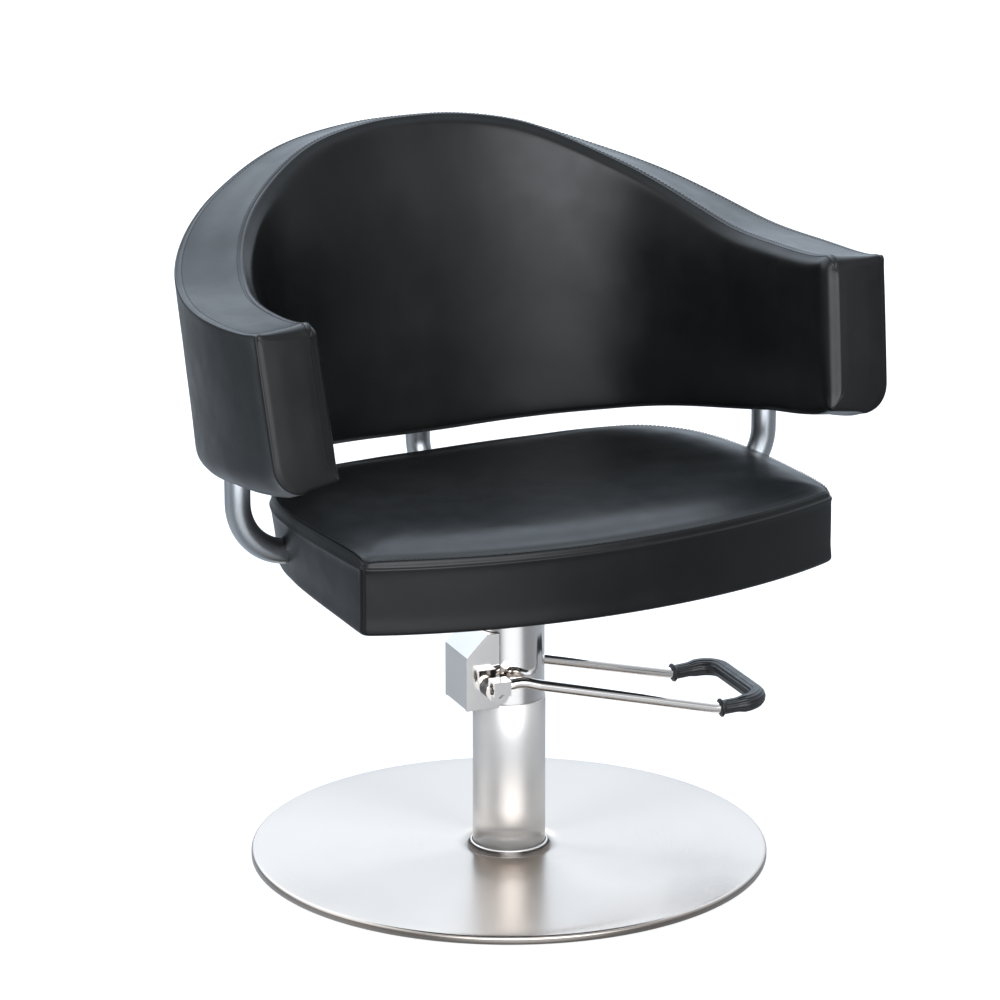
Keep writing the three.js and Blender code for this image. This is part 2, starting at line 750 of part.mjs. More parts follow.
// Top and bottom edges of the wall: [angle, z].
const topZ = spline([
  [-8, 686], [6, 674], [18, 677], [30, 696], [44, 725], [60, 754], [75, 784], [90, 800],
]);
const bottomZ = spline([[-8, 524], [12, 487], [40, 466], [65, 450], [90, 442]]);
const wallThickness = (angle) => WALL + (WALL_REAR - WALL) * smoothstep(angle, 20, 90);
const swell = (angle) =>
  ARM_SWELL * smoothstep(angle, -5, 10) * (1 - smoothstep(angle, 25, 50));
const topSlope = (angle) => 0.05 + 0.11 * smoothstep(angle, 35, 75);
const lowerLean = (angle) => 0.14 - 0.13 * smoothstep(angle, 0, 70);
const outwardLean = (angle) => PLAN.flare + PLAN.lean * Math.sin(rad(angle));
const armFrontY = (z) => -160 - 0.182 * (682 - z);

function wallPoint(angle, z, depth) {
  const height = z - PLAN.z;
  const power = (value) => Math.sign(value) * Math.abs(value) ** (2 / PLAN.exponent);
  const lean = height > 0 ? PLAN.lean : lowerLean(angle);
  const growth = PLAN.flare * height - depth;
  return [
    (PLAN.halfWidth + growth) * power(Math.cos(rad(angle))),
    PLAN.centreY + lean * height + (PLAN.halfDepth + growth) * power(Math.sin(rad(angle))),
    z,
  ];
}

// Sections of a loft round the wall. The first lies in the arm's front face; `ease` places
// the second as a fraction of the way from that face to the third.
const FINE = { angles: [-5, 0, 10, 20, 30, 42, 54, 66, 78, 90], ease: 0.22 };
const COARSE = { angles: [-5, 0, 20, 42, 66, 90], ease: 0.11 };

// A body in the wall: profile(angle) gives [depth, z] pairs, inset moves its arm fronts back.
function wallLoft(profile, inset, { angles, ease }) {
  const right = angles.map((angle, i) =>
    profile(angle).map(([depth, z]) => {
      const point = wallPoint(angle, z, depth);
      const front = armFrontY(z) + inset;
      if (i === 0) point[1] = front;
      if (i === 1) point[1] = front + ease * (wallPoint(angles[2], z, depth)[1] - front);
      return point;
    }),
  );
  const left = right.slice(0, -1).reverse();
  return loft([...right, ...left.map((section) => section.map(([x, y, z]) => [-x, y, z]))]);
}

// Section of the upholstery, all four edges rounded.
function padProfile(angle) {
  const thickness = wallThickness(angle);
  const outerTop = topZ(angle) - 32 * outwardLean(angle);
  const innerTop = outerTop + thickness * topSlope(angle);
  const innerBottom = bottomZ(angle);
  const outerBottom = innerBottom - ARM_DROP * (1 - smoothstep(angle, 0, 60));
  const radius = 30 - 10 * smoothstep(angle, 0, 70); // outer bottom edge
  return [
    [radius, outerBottom],
    [radius * 0.5, outerBottom + radius * 0.134],
    [radius * 0.134, outerBottom + radius * 0.5],
    [0, outerBottom + radius],
    [0, (outerBottom + radius + outerTop) / 2],
    [0, outerTop - 8],
    [2.3, outerTop - 2.3],
    [8, outerTop],
    [thickness - 13, innerTop],
    [thickness - 3.8, innerTop - 3.8],
    [thickness, innerTop - 13],
    [thickness, (innerBottom + 8 + innerTop - 13) / 2],
    [thickness, innerBottom + 8],
    [thickness - 2.3, innerBottom + 2.3],
    [thickness - 8, innerBottom],
  ].map(([depth, z]) => [depth - swell(angle) * Math.max(0, 1 - (2 * depth) / thickness), z]);
}
// Section of a sheet between two depths, set in from the wall's bottom and top edges.
const slab = ({ outer, inner, above, below }) => (angle) => {
  const bottom = bottomZ(angle) + above;
  const middle = Math.min(PLAN.z, topZ(angle) - 24);
  const top = topZ(angle) - below;
  return [
    [outer, bottom], [outer, middle], [outer, top],
    [inner, top], [inner, middle], [inner, bottom],
  ];
};
// Section of a flat strip, between two heights from the wall's bottom edge.
const strip = ({ outer, inner, from, to }) => (angle) => {
  const bottom = bottomZ(angle);
  return [
    [outer, bottom + from], [outer, bottom + to],
    [inner, bottom + to], [inner, bottom + from],
  ];
};
const socketHole = ({ x, y, z1 }) => upright(x, y, 430, z1 + 0.6, 17.8, 16);

put(
  "back_upholstery",
  minus(
    wallLoft(padProfile, 0, FINE),
    wallLoft(slab({ outer: 25.5, inner: 38.5, above: -2, below: 17.6 }), 21.6, COARSE),
    wallLoft(strip({ outer: 21.6, inner: 53.4, from: -20, to: 3.4 }), 11.6, COARSE),
    ...sockets.flatMap((socket) => [socketHole(socket), pinRod(socket, 6.8, -22, 25.4, 16)]),
  ),
  materials.leather,
);
put(
  "back_shell",
  minus(
    wallLoft(slab({ outer: 26, inner: 38, above: 4.2, below: 18 }), 22, COARSE),
    ...sockets.map(socketHole),
  ),
  materials.wood,
);
put(
  "back_base_strip",
  minus(
    wallLoft(strip({ outer: 22, inner: 53, from: 0.3, to: 3 }), 12, COARSE),
    ...sockets.map(({ x, y }) => upright(x, y, 430, 600, TUBE_R + 2, 16)),
  ),
  materials.blackPlastic,
);
for (const [place, { socket }] of Object.entries(SUPPORTS)) {
  const { x, y, z0, z1 } = socket;
  put(
    "back_socket_" + place,
    minus(
      upright(x, y, z0, z1, 17.4, 16),
      upright(x, y, z0 - 1, z1 - 3, TUBE_R + GAP, 16),
      pinHole(socket),
    ),
    materials.steel,
  );
}
// Hexagon-headed pins hold the back on its three tubes.
for (const [place, { socket }] of Object.entries(SUPPORTS))
  put(
    "back_pin_" + place,
    plus(pinRod(socket, 3, -20.5, 21, 12), pinRod(socket, 5.8, 18.2, 24.4, 6)),
    materials.steel,
  );

export default chair;
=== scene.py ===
"""Styling chair: a wrap-round back and a seat cushion on a pump column, base disc and foot lever.

The column stands on the Z axis and the floor is z = 0. The seat opens towards -Y, the back closes
at +Y and the foot lever reaches out towards +X. Lengths are millimetres unless marked as metres.
"""
import json
import math

import bmesh
import bpy
import numpy as np
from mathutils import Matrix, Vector


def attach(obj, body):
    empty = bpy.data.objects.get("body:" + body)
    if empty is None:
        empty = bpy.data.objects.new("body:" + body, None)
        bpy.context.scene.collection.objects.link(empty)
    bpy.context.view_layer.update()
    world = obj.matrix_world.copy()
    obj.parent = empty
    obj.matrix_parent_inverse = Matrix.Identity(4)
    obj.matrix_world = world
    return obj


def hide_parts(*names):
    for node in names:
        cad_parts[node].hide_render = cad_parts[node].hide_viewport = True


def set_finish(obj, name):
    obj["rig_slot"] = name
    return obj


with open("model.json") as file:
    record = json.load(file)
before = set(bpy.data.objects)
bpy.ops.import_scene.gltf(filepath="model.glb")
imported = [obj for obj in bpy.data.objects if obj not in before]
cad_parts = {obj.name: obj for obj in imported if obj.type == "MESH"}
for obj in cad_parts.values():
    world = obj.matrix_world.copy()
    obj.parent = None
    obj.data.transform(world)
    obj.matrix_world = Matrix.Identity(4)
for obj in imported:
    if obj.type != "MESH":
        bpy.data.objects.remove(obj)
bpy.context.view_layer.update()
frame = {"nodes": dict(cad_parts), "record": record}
scene = bpy.context.scene
MM = 0.001  # metres in a millimetre


# ------------------------------------------------------------------ curves and numbers
def spline(knots_x, knots_y):
    """Monotone cubic through knots, as a function of an array."""
    knots_x, knots_y = np.array(knots_x, float), np.array(knots_y, float)
    count = len(knots_x)
    gap = np.diff(knots_x)
    rise = np.diff(knots_y) / gap
    slope = np.zeros(count)
    slope[0], slope[-1] = rise[0], rise[-1]
    for i in range(1, count - 1):
        product = rise[i - 1] * rise[i]
        slope[i] = 0 if product <= 0 else 2 * rise[i - 1] * rise[i] / (rise[i - 1] + rise[i])

    def curve(x):
        x = np.clip(np.asarray(x, float), knots_x[0], knots_x[-1])
        i = np.clip(np.searchsorted(knots_x, x, side="right") - 1, 0, count - 2)
        t = (x - knots_x[i]) / gap[i]
        return (
            (1 + 2 * t) * (1 - t) ** 2 * knots_y[i]
            + t * (1 - t) ** 2 * gap[i] * slope[i]
            + t * t * (3 - 2 * t) * knots_y[i + 1]
            + t * t * (t - 1) * gap[i] * slope[i + 1]
        )

    return curve


def smooth(t):
    t = np.clip(t, 0, 1)
    return t * t * (3 - 2 * t)


def unit(vector):
    return vector / np.linalg.norm(vector)


def run_length(points):
    """Distance along a polyline at each of its points."""
    return np.concatenate([[0], np.cumsum(np.linalg.norm(np.diff(points, axis=0), axis=1))])


def round_turn(segments):
    return np.linspace(0, 2 * math.pi, segments, endpoint=False)


def blur(field, sigma_rows, sigma_columns):
    """Gaussian smoothing of a grid whose rows are closed loops and whose columns are open."""
    out = np.asarray(field, float)
    for axis, sigma, mode in ((0, sigma_rows, "edge"), (1, sigma_columns, "wrap")):
        reach = int(3 * sigma) + 1
        kernel = np.exp(-0.5 * (np.arange(-reach, reach + 1) / sigma) ** 2)
        kernel /= kernel.sum()
        pad = [(0, 0), (0, 0)]
        pad[axis] = (reach, reach)
        padded = np.pad(out, pad, mode=mode)
        count = out.shape[axis]
        out = sum(
            kernel[j] * np.take(padded, np.arange(j, j + count), axis=axis)
            for j in range(2 * reach + 1)
        )
    return out


def wobble(points, amplitude, scale, seed=0.0):
    """A smooth, fixed, uneven field: a few crossed sines."""
    k = 2 * math.pi / scale
    x, y, z = points[:, 0], points[:, 1], points[:, 2]
    return amplitude * (
        0.40 * np.sin(k * (0.83 * x + 0.41 * z) + 1.3 + seed)
        + 0.32 * np.sin(k * (1.31 * y - 0.57 * z + 0.2 * x) + 2.1 + 2 * seed)
        + 0.28 * np.sin(k * (0.37 * x - 1.17 * z + 0.9 * y) + 0.4 + 3 * seed)
        + 0.22 * np.sin(k * (1.9 * x + 1.3 * z) + 4.0 - seed)
        + 0.18 * np.sin(k * (2.3 * z - 0.9 * y) + 5.2 + seed)
    )


def pucker(points, centre, depth, folds, phase, rise, reach, z_stretch=1.0):
    """Folds fanning out from a gathered corner, fading with distance."""
    away = points - centre
    distance = np.linalg.norm(away, axis=1)
    angle = np.arctan2(away[:, 2] * z_stretch, away[:, 1])
    fold = depth * np.exp(-distance / 11.0) * np.cos(folds * angle + phase)
    return np.where(distance < reach, fold * np.minimum(1, distance / rise), 0)


# ------------------------------------------------------------------ meshes
def mesh_object(name, vertices, faces):
    mesh = bpy.data.meshes.new(name)
    mesh.from_pydata((np.asarray(vertices, float) * MM).tolist(), [], faces)
    mesh.update()
    ob = bpy.data.objects.new(name, mesh)
    scene.collection.objects.link(ob)
    bm = bmesh.new()
    bm.from_mesh(mesh)
    bmesh.ops.recalc_face_normals(bm, faces=bm.faces)
    bm.to_mesh(mesh)
    bm.free()
    shade_smooth(ob)
    mesh.update()
    return ob


def shade_smooth(ob):
    polygons = ob.data.polygons
    polygons.foreach_set("use_smooth", [True] * len(polygons))


def read_vertices(mesh, field):
    """A vertex field, "co" (metres) or "normal", as an array of triples."""
    values = np.zeros(len(mesh.vertices) * 3)
    mesh.vertices.foreach_get(field, values)
    return values.reshape(-1, 3)


def move_vertices(mesh, positions):
    flat = np.ascontiguousarray(positions, np.float32).ravel()
    mesh.vertices.foreach_set("co", flat)
    mesh.update()


def loop_quads(rows):
    """Faces between consecutive rows of vertex numbers, each row a closed loop."""
    a, b = rows[:-1], rows[1:]
    faces = np.stack([a, np.roll(a, -1, 1), np.roll(b, -1, 1), b], -1)
    return faces.reshape(-1, 4).tolist()


def subdivide(ob):
    """One level of subdivision, applied."""
    modifier = ob.modifiers.new("sub", "SUBSURF")
    modifier.levels = modifier.render_levels = 1
    depsgraph = bpy.context.evaluated_depsgraph_get()
    mesh = bpy.data.meshes.new_from_object(ob.evaluated_get(depsgraph))
    old = ob.data
    ob.modifiers.clear()
    ob.data = mesh
    bpy.data.meshes.remove(old)
    shade_smooth(ob)


def lathe(name, profile, segments):
    """A closed solid of revolution about +Z from a closed list of (radius, z), none on the axis."""
    profile = np.array(profile, float)
    radius, z = profile[:, 0], profile[:, 1]
    rows = np.stack(
        [np.stack([radius * math.cos(a), radius * math.sin(a), z], -1) for a in round_turn(segments)]
    )
    numbers = np.arange(segments * len(profile)).reshape(segments, -1)
    numbers = np.vstack([numbers, numbers[:1]])
    return mesh_object(name, rows.reshape(-1, 3), loop_quads(numbers))


def rounded(corners, radii, angle_step, line_step=None):
    """A polyline with rounded corners, as (points, tangents)."""
    corners = [np.array(corner, float) for corner in corners]
    points = [corners[0]]
    tangents = [unit(corners[1] - corners[0])]

    def divide_straight(end, tangent):
        if not line_step:
            return
        start = points[-1]
        count = max(1, int(np.linalg.norm(end - start) // line_step))
        for j in range(1, count):
            points.append(start + (end - start) * j / count)
            tangents.append(tangent)

    for before, corner, after, radius in zip(corners, corners[1:], corners[2:], radii):
        into = unit(corner - before)
        away = unit(after - corner)
        turn = math.acos(float(into @ away))
        start = corner - into * radius * math.tan(turn / 2)
        side = unit(away - into * (into @ away))
        divide_straight(start, into)
        count = max(2, int(math.ceil(turn / angle_step)))
        centre = start + side * radius
        for j in range(count + 1):
            w = turn * j / count
            points.append(centre - side * radius * math.cos(w) + into * radius * math.sin(w))
            tangents.append(into * math.cos(w) + side * math.sin(w))
    away = unit(corners[-1] - points[-1])
    divide_straight(corners[-1], away)
    points.append(corners[-1])
    tangents.append(away)
    return np.array(points), np.array(tangents)


def sweep(name, path, tangents, radius, segments, bore=None):
    """A bar, or a tube if bore is given, along a path.

    radius is one number or a grid of (station, segment).
    """
    radius = np.broadcast_to(radius, (len(path), segments))
    phi = round_turn(segments)
    up = np.array((0, 0, 1), float)
    side = unit(up - tangents[0] * (up @ tangents[0]))
    rows, inner = [], []
    for i, (point, tangent) in enumerate(zip(path, tangents)):
        if i:
            side = unit(side - tangent * (side @ tangent))
        across = np.cross(tangent, side)
        spokes = np.cos(phi)[:, None] * side + np.sin(phi)[:, None] * across
        rows.append(point + spokes * radius[i][:, None])
        if bore:
            inner.append(point + spokes * bore)
    rows += inner[::-1]
    numbers = np.arange(len(rows) * segments).reshape(len(rows), segments)
    if bore:
        faces = loop_quads(np.vstack([numbers, numbers[:1]]))
    else:
        faces = loop_quads(numbers)
        faces.append(numbers[0][::-1].tolist())
        faces.append(numbers[-1].tolist())
    return mesh_object(name, np.array(rows).reshape(-1, 3), faces)


def cloth_swell(ob, pinned, cap):
    """How far the cloth solver inflates a closed skin along its normals, held at pinned vertices.

    Each point is kept within cap of where it started.
    """
    rest = read_vertices(ob.data, "co")
    normals = read_vertices(ob.data, "normal")
    group = ob.vertex_groups.new(name="pin")
    group.add([int(i) for i in np.nonzero(pinned)[0]], 1.0, "REPLACE")
    cloth = ob.modifiers.new("cloth", "CLOTH")
    settings = cloth.settings
    settings.quality = 6
    settings.mass = 0.3
    settings.tension_stiffness = 18.0
    settings.compression_stiffness = 18.0
    settings.shear_stiffness = 9.0
    settings.bending_stiffness = 3.0
    settings.vertex_group_mass = "pin"
    settings.use_pressure = True
    settings.uniform_pressure_force = 4.0
    settings.effector_weights.gravity = 0.0
    cloth.collision_settings.use_collision = False
    cloth.collision_settings.use_self_collision = False
    last_frame = 20
    cloth.point_cache.frame_start = 1
    cloth.point_cache.frame_end = last_frame
    for number in range(1, last_frame + 1):
        scene.frame_set(number)
    evaluated = ob.evaluated_get(bpy.context.evaluated_depsgraph_get())
    moved = read_vertices(evaluated.to_mesh(), "co")
    evaluated.to_mesh_clear()
    ob.modifiers.clear()
    ob.vertex_groups.clear()
    scene.frame_set(1)
    shift = moved - rest
    length = np.linalg.norm(shift, axis=1, keepdims=True)
    limit = cap * MM
    shift = shift * (limit * np.tanh(length / limit) / np.maximum(length, 1e-9))
    return (shift * normals).sum(1) / MM


# The foam shrinks back under the cover only where the cloth solver has swelled it.
SHRINK_ON = 1

STITCH_PITCH, STITCH_LENGTH, STITCH_R = 4.8, 3.5, 0.42
STITCH_LIFT, STITCH_END_SINK = 0.12, 0.25
STITCH_SIDES = 6
# place along the stitch, share of the full radius
STITCH_RINGS = ((0.0, 0.55), (0.25, 1.0), (0.75, 1.0), (1.0, 0.55))


def stitches(name, paths, path_normals):
    """Rows of short threads along several paths, half sunk in the surface."""
    vertices, faces = [], []
    sides = STITCH_SIDES
    for path, normals in zip(paths, path_normals):
        along = run_length(path)
        count = int(along[-1] // STITCH_PITCH)

        def sample(values, at):
            return np.array([np.interp(at, along, values[:, j]) for j in range(3)])

        for i in range(count):
            middle = (i + 0.5) * along[-1] / count
            start = sample(path, middle - STITCH_LENGTH / 2)
            span = sample(path, middle + STITCH_LENGTH / 2) - start
            length = np.linalg.norm(span)
            span /= length
            up = unit(sample(normals, middle))
            up = unit(up - span * (up @ span))
            side = np.cross(span, up)
            base = len(vertices)
            for at, share in STITCH_RINGS:
                lift = STITCH_LIFT - (STITCH_END_SINK if share < 1 else 0.0)
                centre = start + span * length * at + up * lift
                for j in range(sides):
                    a = 2 * math.pi / sides * j
                    spoke = up * math.sin(a) + side * math.cos(a)
                    vertices.append(centre + spoke * STITCH_R * share)
            for ring in range(len(STITCH_RINGS) - 1):
                for j in range(sides):
                    a = base + sides * ring + j
                    b = base + sides * ring + (j + 1) % sides
                    faces.append([a, b, b + sides, a + sides])
            last = base + sides * (len(STITCH_RINGS) - 1)
            faces.append([base + j for j in range(sides)][::-1])
            faces.append([last + j for j in range(sides)])
    return mesh_object(name, vertices, faces)


# ------------------------------------------------------------------ wrap-round back: its wall
# Round the plan, angle 0 is the +X side and 90 the rear. "off" is the depth in from the outer face.
HALF_X, HALF_Y, CENTRE_Y = 382.0, 385.0, -118.0  # superellipse of the outer face at REF_Z
POWER = 2.65  # of the superellipse
REF_Z = 668.0
FLARE = 0.06  # outward growth per unit of height
LEAN = 0.109  # rearward lean per unit of height, well above REF_Z
LOW_LEAN_SIDE, LOW_LEAN_REAR = 0.14, 0.01  # the same, well below REF_Z
LEAN_BLEND = 45.0  # half-height of the change between them
WALL, WALL_REAR = 78.0, 68.0  # thickness at the arms and the rear
ARM_DROP = 7.0  # how much lower the outer bottom edge lies than the inner
ARM_SWELL = 6.0
TOP_OFF = 32.0  # depth at which the top height is given
ARM_END_ANGLE, REAR_START_ANGLE = -5, 10.0
OUTER_TOP_R, INNER_TOP_R, INNER_BOTTOM_R = 5.0, 13.0, 7.0

# First row of each part of the section, counted from the middle of the underside
OUTER_FACE, OUTER_ARC, OUTER_SEAM, INNER_SEAM, INNER_BOTTOM = 10, 28, 32, 43, 68
SECTION_ROWS = 75


def softened(curve, sigma):
    """A curve over the plan angle, carried on past the front, mirrored at the rear and smoothed."""
    first = -8
    angles = np.arange(-40, 220.01, 0.5)
    folded = np.where(angles > 90, 180 - angles, angles)
    slope = (curve(first + 2.0) - curve(first)) / 2
    values = np.where(folded < first, curve(first) + (folded - first) * slope, curve(folded))
    kernel = np.exp(-0.5 * (np.arange(-30, 31) * 0.5 / sigma) ** 2)
    kernel /= kernel.sum()
    trim = slice(40, -40)
    smoothed = np.convolve(values, kernel, "same")[trim]
    kept = angles[trim]
    return lambda x: np.interp(x, kept, smoothed)


top_z = softened(
    spline([-8, 6, 18, 30, 44, 60, 75, 90], [686, 674, 677, 696, 725, 754, 784, 800]), sigma=4.0
)
bottom_z = softened(spline([-8, 12, 40, 65, 90], [524, 487, 466, 450, 442]), sigma=4.0)


def wall_thickness(angle):
    return WALL + (WALL_REAR - WALL) * float(smooth((angle - 20) / 70))


def top_slope(angle):
    return 0.05 + 0.11 * float(smooth((angle - 35) / 40))


def lean_shift(angle, h):
    """Rearward shift at height h over REF_Z."""
    w = LEAN_BLEND
    low = LOW_LEAN_SIDE + (LOW_LEAN_REAR - LOW_LEAN_SIDE) * smooth(angle / 70)
    middle = (LEAN - low) * (h + w) ** 2 / (4 * w) + low * h
    return np.where(h < -w, low * h, np.where(h > w, LEAN * h, middle))


def front_y(z):
    """The arm ends' front plane."""
    return -160 - 0.182 * (682 - z)


def wall_at_angle(angle, off, z):
    h = z - REF_Z
    cosine, sine = math.cos(math.radians(angle)), math.sin(math.radians(angle))
    x_share = abs(cosine) ** (2 / POWER)
    y_share = math.copysign(abs(sine) ** (2 / POWER), angle)
    x = (HALF_X + FLARE * h - off) * x_share
    y = CENTRE_Y + lean_shift(angle, h) + (HALF_Y + FLARE * h - off) * y_share
    return np.stack([x, y, z], -1)


def wall_at_y(angle, y, off, z):
    """The wall point at a given y, for the straight run of the arms."""
    h = z - REF_Z
    share = np.abs(y - CENTRE_Y - lean_shift(angle, h)) / (HALF_Y + FLARE * h - off)
    share = np.clip(share, 0, 0.999)
    x = (HALF_X + FLARE * h - off) * (1 - share**POWER) ** (1 / POWER)
    return np.stack([x, y, z], -1)


def section(angle):
    """(off, z) points and outward normals of the wall's closed section."""
    thick = wall_thickness(angle)
    slope = top_slope(angle)
    bottom = float(bottom_z(angle))
    tilt = FLARE + LEAN * math.sin(math.radians(angle))
    outer_top = float(top_z(angle)) - TOP_OFF * tilt
    inner_top = outer_top + thick * slope
    drop = ARM_DROP * (1 - float(smooth(angle / 60)))
    outer_bottom, mid_bottom = bottom - drop, bottom - drop / 2
    outer_r = 30 - 10 * float(smooth(angle / 70))
    points, normals = [], []

    def line(start, end, steps, normal):
        for t in steps:
            off = start[0] + (end[0] - start[0]) * t
            points.append((off, start[1] + (end[1] - start[1]) * t))
            normals.append(normal)

    def arc(off, z, radius, first, last, steps):
        for t in steps:
            w = math.radians(first + (last - first) * t)
            points.append((off + radius * math.cos(w), z + radius * math.sin(w)))
            normals.append((math.cos(w), math.sin(w)))

    thirds = [0, 1 / 3, 2 / 3]
    face_steps = [i / 18 for i in range(18)]
    # outer half of the underside, outer bottom corner, outer face, outer top corner
    line((thick / 2, mid_bottom), (outer_r, outer_bottom), thirds, (0, -1))
    arc(outer_r, outer_bottom + outer_r, outer_r, 270, 180, [i / 7 for i in range(7)])
    line((0, outer_bottom + outer_r), (0, outer_top - OUTER_TOP_R), face_steps, (-1, 0))
    arc(OUTER_TOP_R, outer_top - OUTER_TOP_R, OUTER_TOP_R, 180, 90, [0, 0.3, 0.62, 0.83])
    # top band, closer set beside the seams
    band = thick - OUTER_TOP_R - INNER_TOP_R
    stations = [0, 1.5, 3.5]
    stations += [3.5 + (band - 7) * i / 7 for i in range(1, 7)]
    stations += [band - 3.5, band - 1.5]
    band_end = (thick - INNER_TOP_R, inner_top)
    line((OUTER_TOP_R, outer_top), band_end, [v / band for v in stations], (-slope, 1))
    # inner top corner, inner face, inner bottom corner, inner half of the underside
    inner_steps = [0, 0.074, 0.172, 0.31, 0.47, 0.64, 0.82]
    arc(thick - INNER_TOP_R, inner_top - INNER_TOP_R, INNER_TOP_R, 90, 0, inner_steps)
    line((thick, inner_top - INNER_TOP_R), (thick, bottom + INNER_BOTTOM_R), face_steps, (1, 0))
    quarters = [i / 4 for i in range(4)]
    arc(thick - INNER_BOTTOM_R, bottom + INNER_BOTTOM_R, INNER_BOTTOM_R, 0, -90, quarters)
    line((thick - INNER_BOTTOM_R, bottom), (thick / 2, mid_bottom), thirds, (0, -1))
    points, normals = np.array(points), np.array(normals)
    # the outer side of each arm swells outwards
    swell = ARM_SWELL * float(smooth((angle + 5) / 15)) * (1 - float(smooth((angle - 25) / 25)))
    points[:, 0] -= swell * np.maximum(0, 1 - 2 * points[:, 0] / thick) ** 1.3
    return points, normals / np.linalg.norm(normals, axis=1, keepdims=True)


# ------------------------------------------------------------------ wrap-round back: the cover
# How far each ring of the front panel has closed from its edge towards a slit in its middle
PANEL_STEPS = (0.985, 0.82, 0.64, 0.46, 0.28, 0.12, 0.0)
PANEL_SEAM = len(PANEL_STEPS) - 1
RING_PITCH = 7.2  # between rings round the rear


def front_edge_radius(outline):
    """Radius of the arm's front edge at each row: tight outside, fuller inside."""
    radius = np.interp(outline[:, 0], [0, WALL], [4.2, 14.0])
    radius[INNER_BOTTOM:] = np.linspace(9, 4.8, SECTION_ROWS - INNER_BOTTOM)
    radius[:OUTER_FACE] = 4.6
    return radius


def middle_and_half(outline):
    low, high = outline[:, 1].min(), outline[:, 1].max()
    return (low + high) / 2, (high - low) / 2


def front_panel(outline, normals, radius):
    """(off, z) rings of the arm's front face, from its middle out to the seam."""
    mid_z, half_z = middle_and_half(outline)
    off, z = outline[:, 0], outline[:, 1]
    edge = outline - normals * radius[:, None]
    slit_off = WALL / 2 + (off - WALL / 2) * 0.30
    slit = np.stack([slit_off, mid_z + (z - mid_z) * (half_z - 30) / half_z], -1)
    across = np.clip((off - WALL / 2) / (WALL / 2), -1, 1)
    top = np.r_[OUTER_ARC:48]
    bottom = np.r_[0:6, 70:SECTION_ROWS]
    slit[top, 1] += 9.0 * (1 - across[top] ** 2)
    slit[bottom, 1] -= 7.0 * (1 - across[bottom] ** 2)
    return [edge + (slit - edge) * step for step in PANEL_STEPS]


def back_rings(outline, normals, panel):
    """Rings of the whole cover, from the +X arm's front face round to the -X one."""
    radius = front_edge_radius(outline)
    rings = [wall_at_y(0.0, front_y(ring[:, 1]), ring[:, 0], ring[:, 1]) for ring in panel]
    # rounded front edge
    for degrees in (62, 34, 0):
        t = math.radians(degrees)
        ring = outline - normals * (radius * (1 - math.cos(t)))[:, None]
        y = front_y(ring[:, 1]) + radius * (1 - math.sin(t))
        rings.append(wall_at_y(0.0, y, ring[:, 0], ring[:, 1]))
    # straight run of the arm
    angle_along = spline([0, 0.22, 1], [ARM_END_ANGLE, 0, REAR_START_ANGLE])
    for share in np.linspace(0, 1, 22)[1:]:
        angle = float(angle_along(share))
        ring, _ = section(angle)
        off, z = ring[:, 0], ring[:, 1]
        end_y = wall_at_angle(REAR_START_ANGLE, off, z)[:, 1]
        start_y = front_y(z) + radius
        rings.append(wall_at_y(angle, start_y + (end_y - start_y) * share, off, z))
    # round the rear, evenly spaced along the middle of the wall
    angles = 90 - (90 - REAR_START_ANGLE) * np.linspace(1, 0, 4000) ** 2
    mid_off, mid_z = np.array([TOP_OFF]), np.array([600.0])
    along = run_length(np.array([wall_at_angle(a, mid_off, mid_z)[0] for a in angles]))
    count = int(along[-1] // RING_PITCH)
    for k in range(1, count + 1):
        angle = float(np.interp(along[-1] * k / count, along, angles))
        ring, _ = section(angle)
        rings.append(wall_at_angle(angle, ring[:, 0], ring[:, 1]))
    half = np.array(rings)
    mirrored = half[:-1][::-1].copy()
    mirrored[:, :, 0] *= -1
    return np.concatenate([half, mirrored])


def slit_faces(row):
    """Faces closing the slit inside a front panel's innermost ring."""
    low, high = 9, 29
    count = SECTION_ROWS
    top = list(row[high : count - high + 1])
    bottom = list(row[count - low :]) + list(row[: low + 1])
    rungs = [
        [row[i], row[i + 1], row[count - i - 1], row[count - i]] for i in range(low, high)
    ]
    return [[int(v) for v in face] for face in [top, bottom] + rungs]


def back_hold(count):
    """Share of the crown each vertex takes: none on the seams, little under the wall."""
    hold = np.ones((count, SECTION_ROWS))
    for seam in (OUTER_SEAM, INNER_SEAM):
        for j, share in ((-3, 0.8), (-2, 0.5), (-1, 0.2), (0, 0.0), (1, 0.2), (2, 0.5), (3, 0.8)):
            hold[:, seam + j] = np.minimum(hold[:, seam + j], share)
    hold[:, :4] = hold[:, 71:] = 0.35
    number = np.arange(count)
    from_seam = np.minimum(number, count - 1 - number) - PANEL_SEAM
    return hold * smooth(np.maximum(from_seam, 0) / 5.0)[:, None]


def back_grooves(count):
    """Sewn grooves along the two top seams and round the two front panels."""
    groove = np.zeros((count, SECTION_ROWS))
    run = slice(PANEL_SEAM, count - PANEL_SEAM)
    for seam in (OUTER_SEAM, INNER_SEAM):
        groove[run, seam] = -2.3
        for step, raised in ((1, 0.1), (2, 0.5)):
            groove[run, seam - step] += raised
            groove[run, seam + step] += raised
    rows = slice(6, 70)
    for ring in (PANEL_SEAM, count - 1 - PANEL_SEAM):
        groove[ring, rows] = -1.2
        groove[ring + 1, rows] += 0.15
        groove[ring - 1, rows] += 0.15
    return groove.ravel()


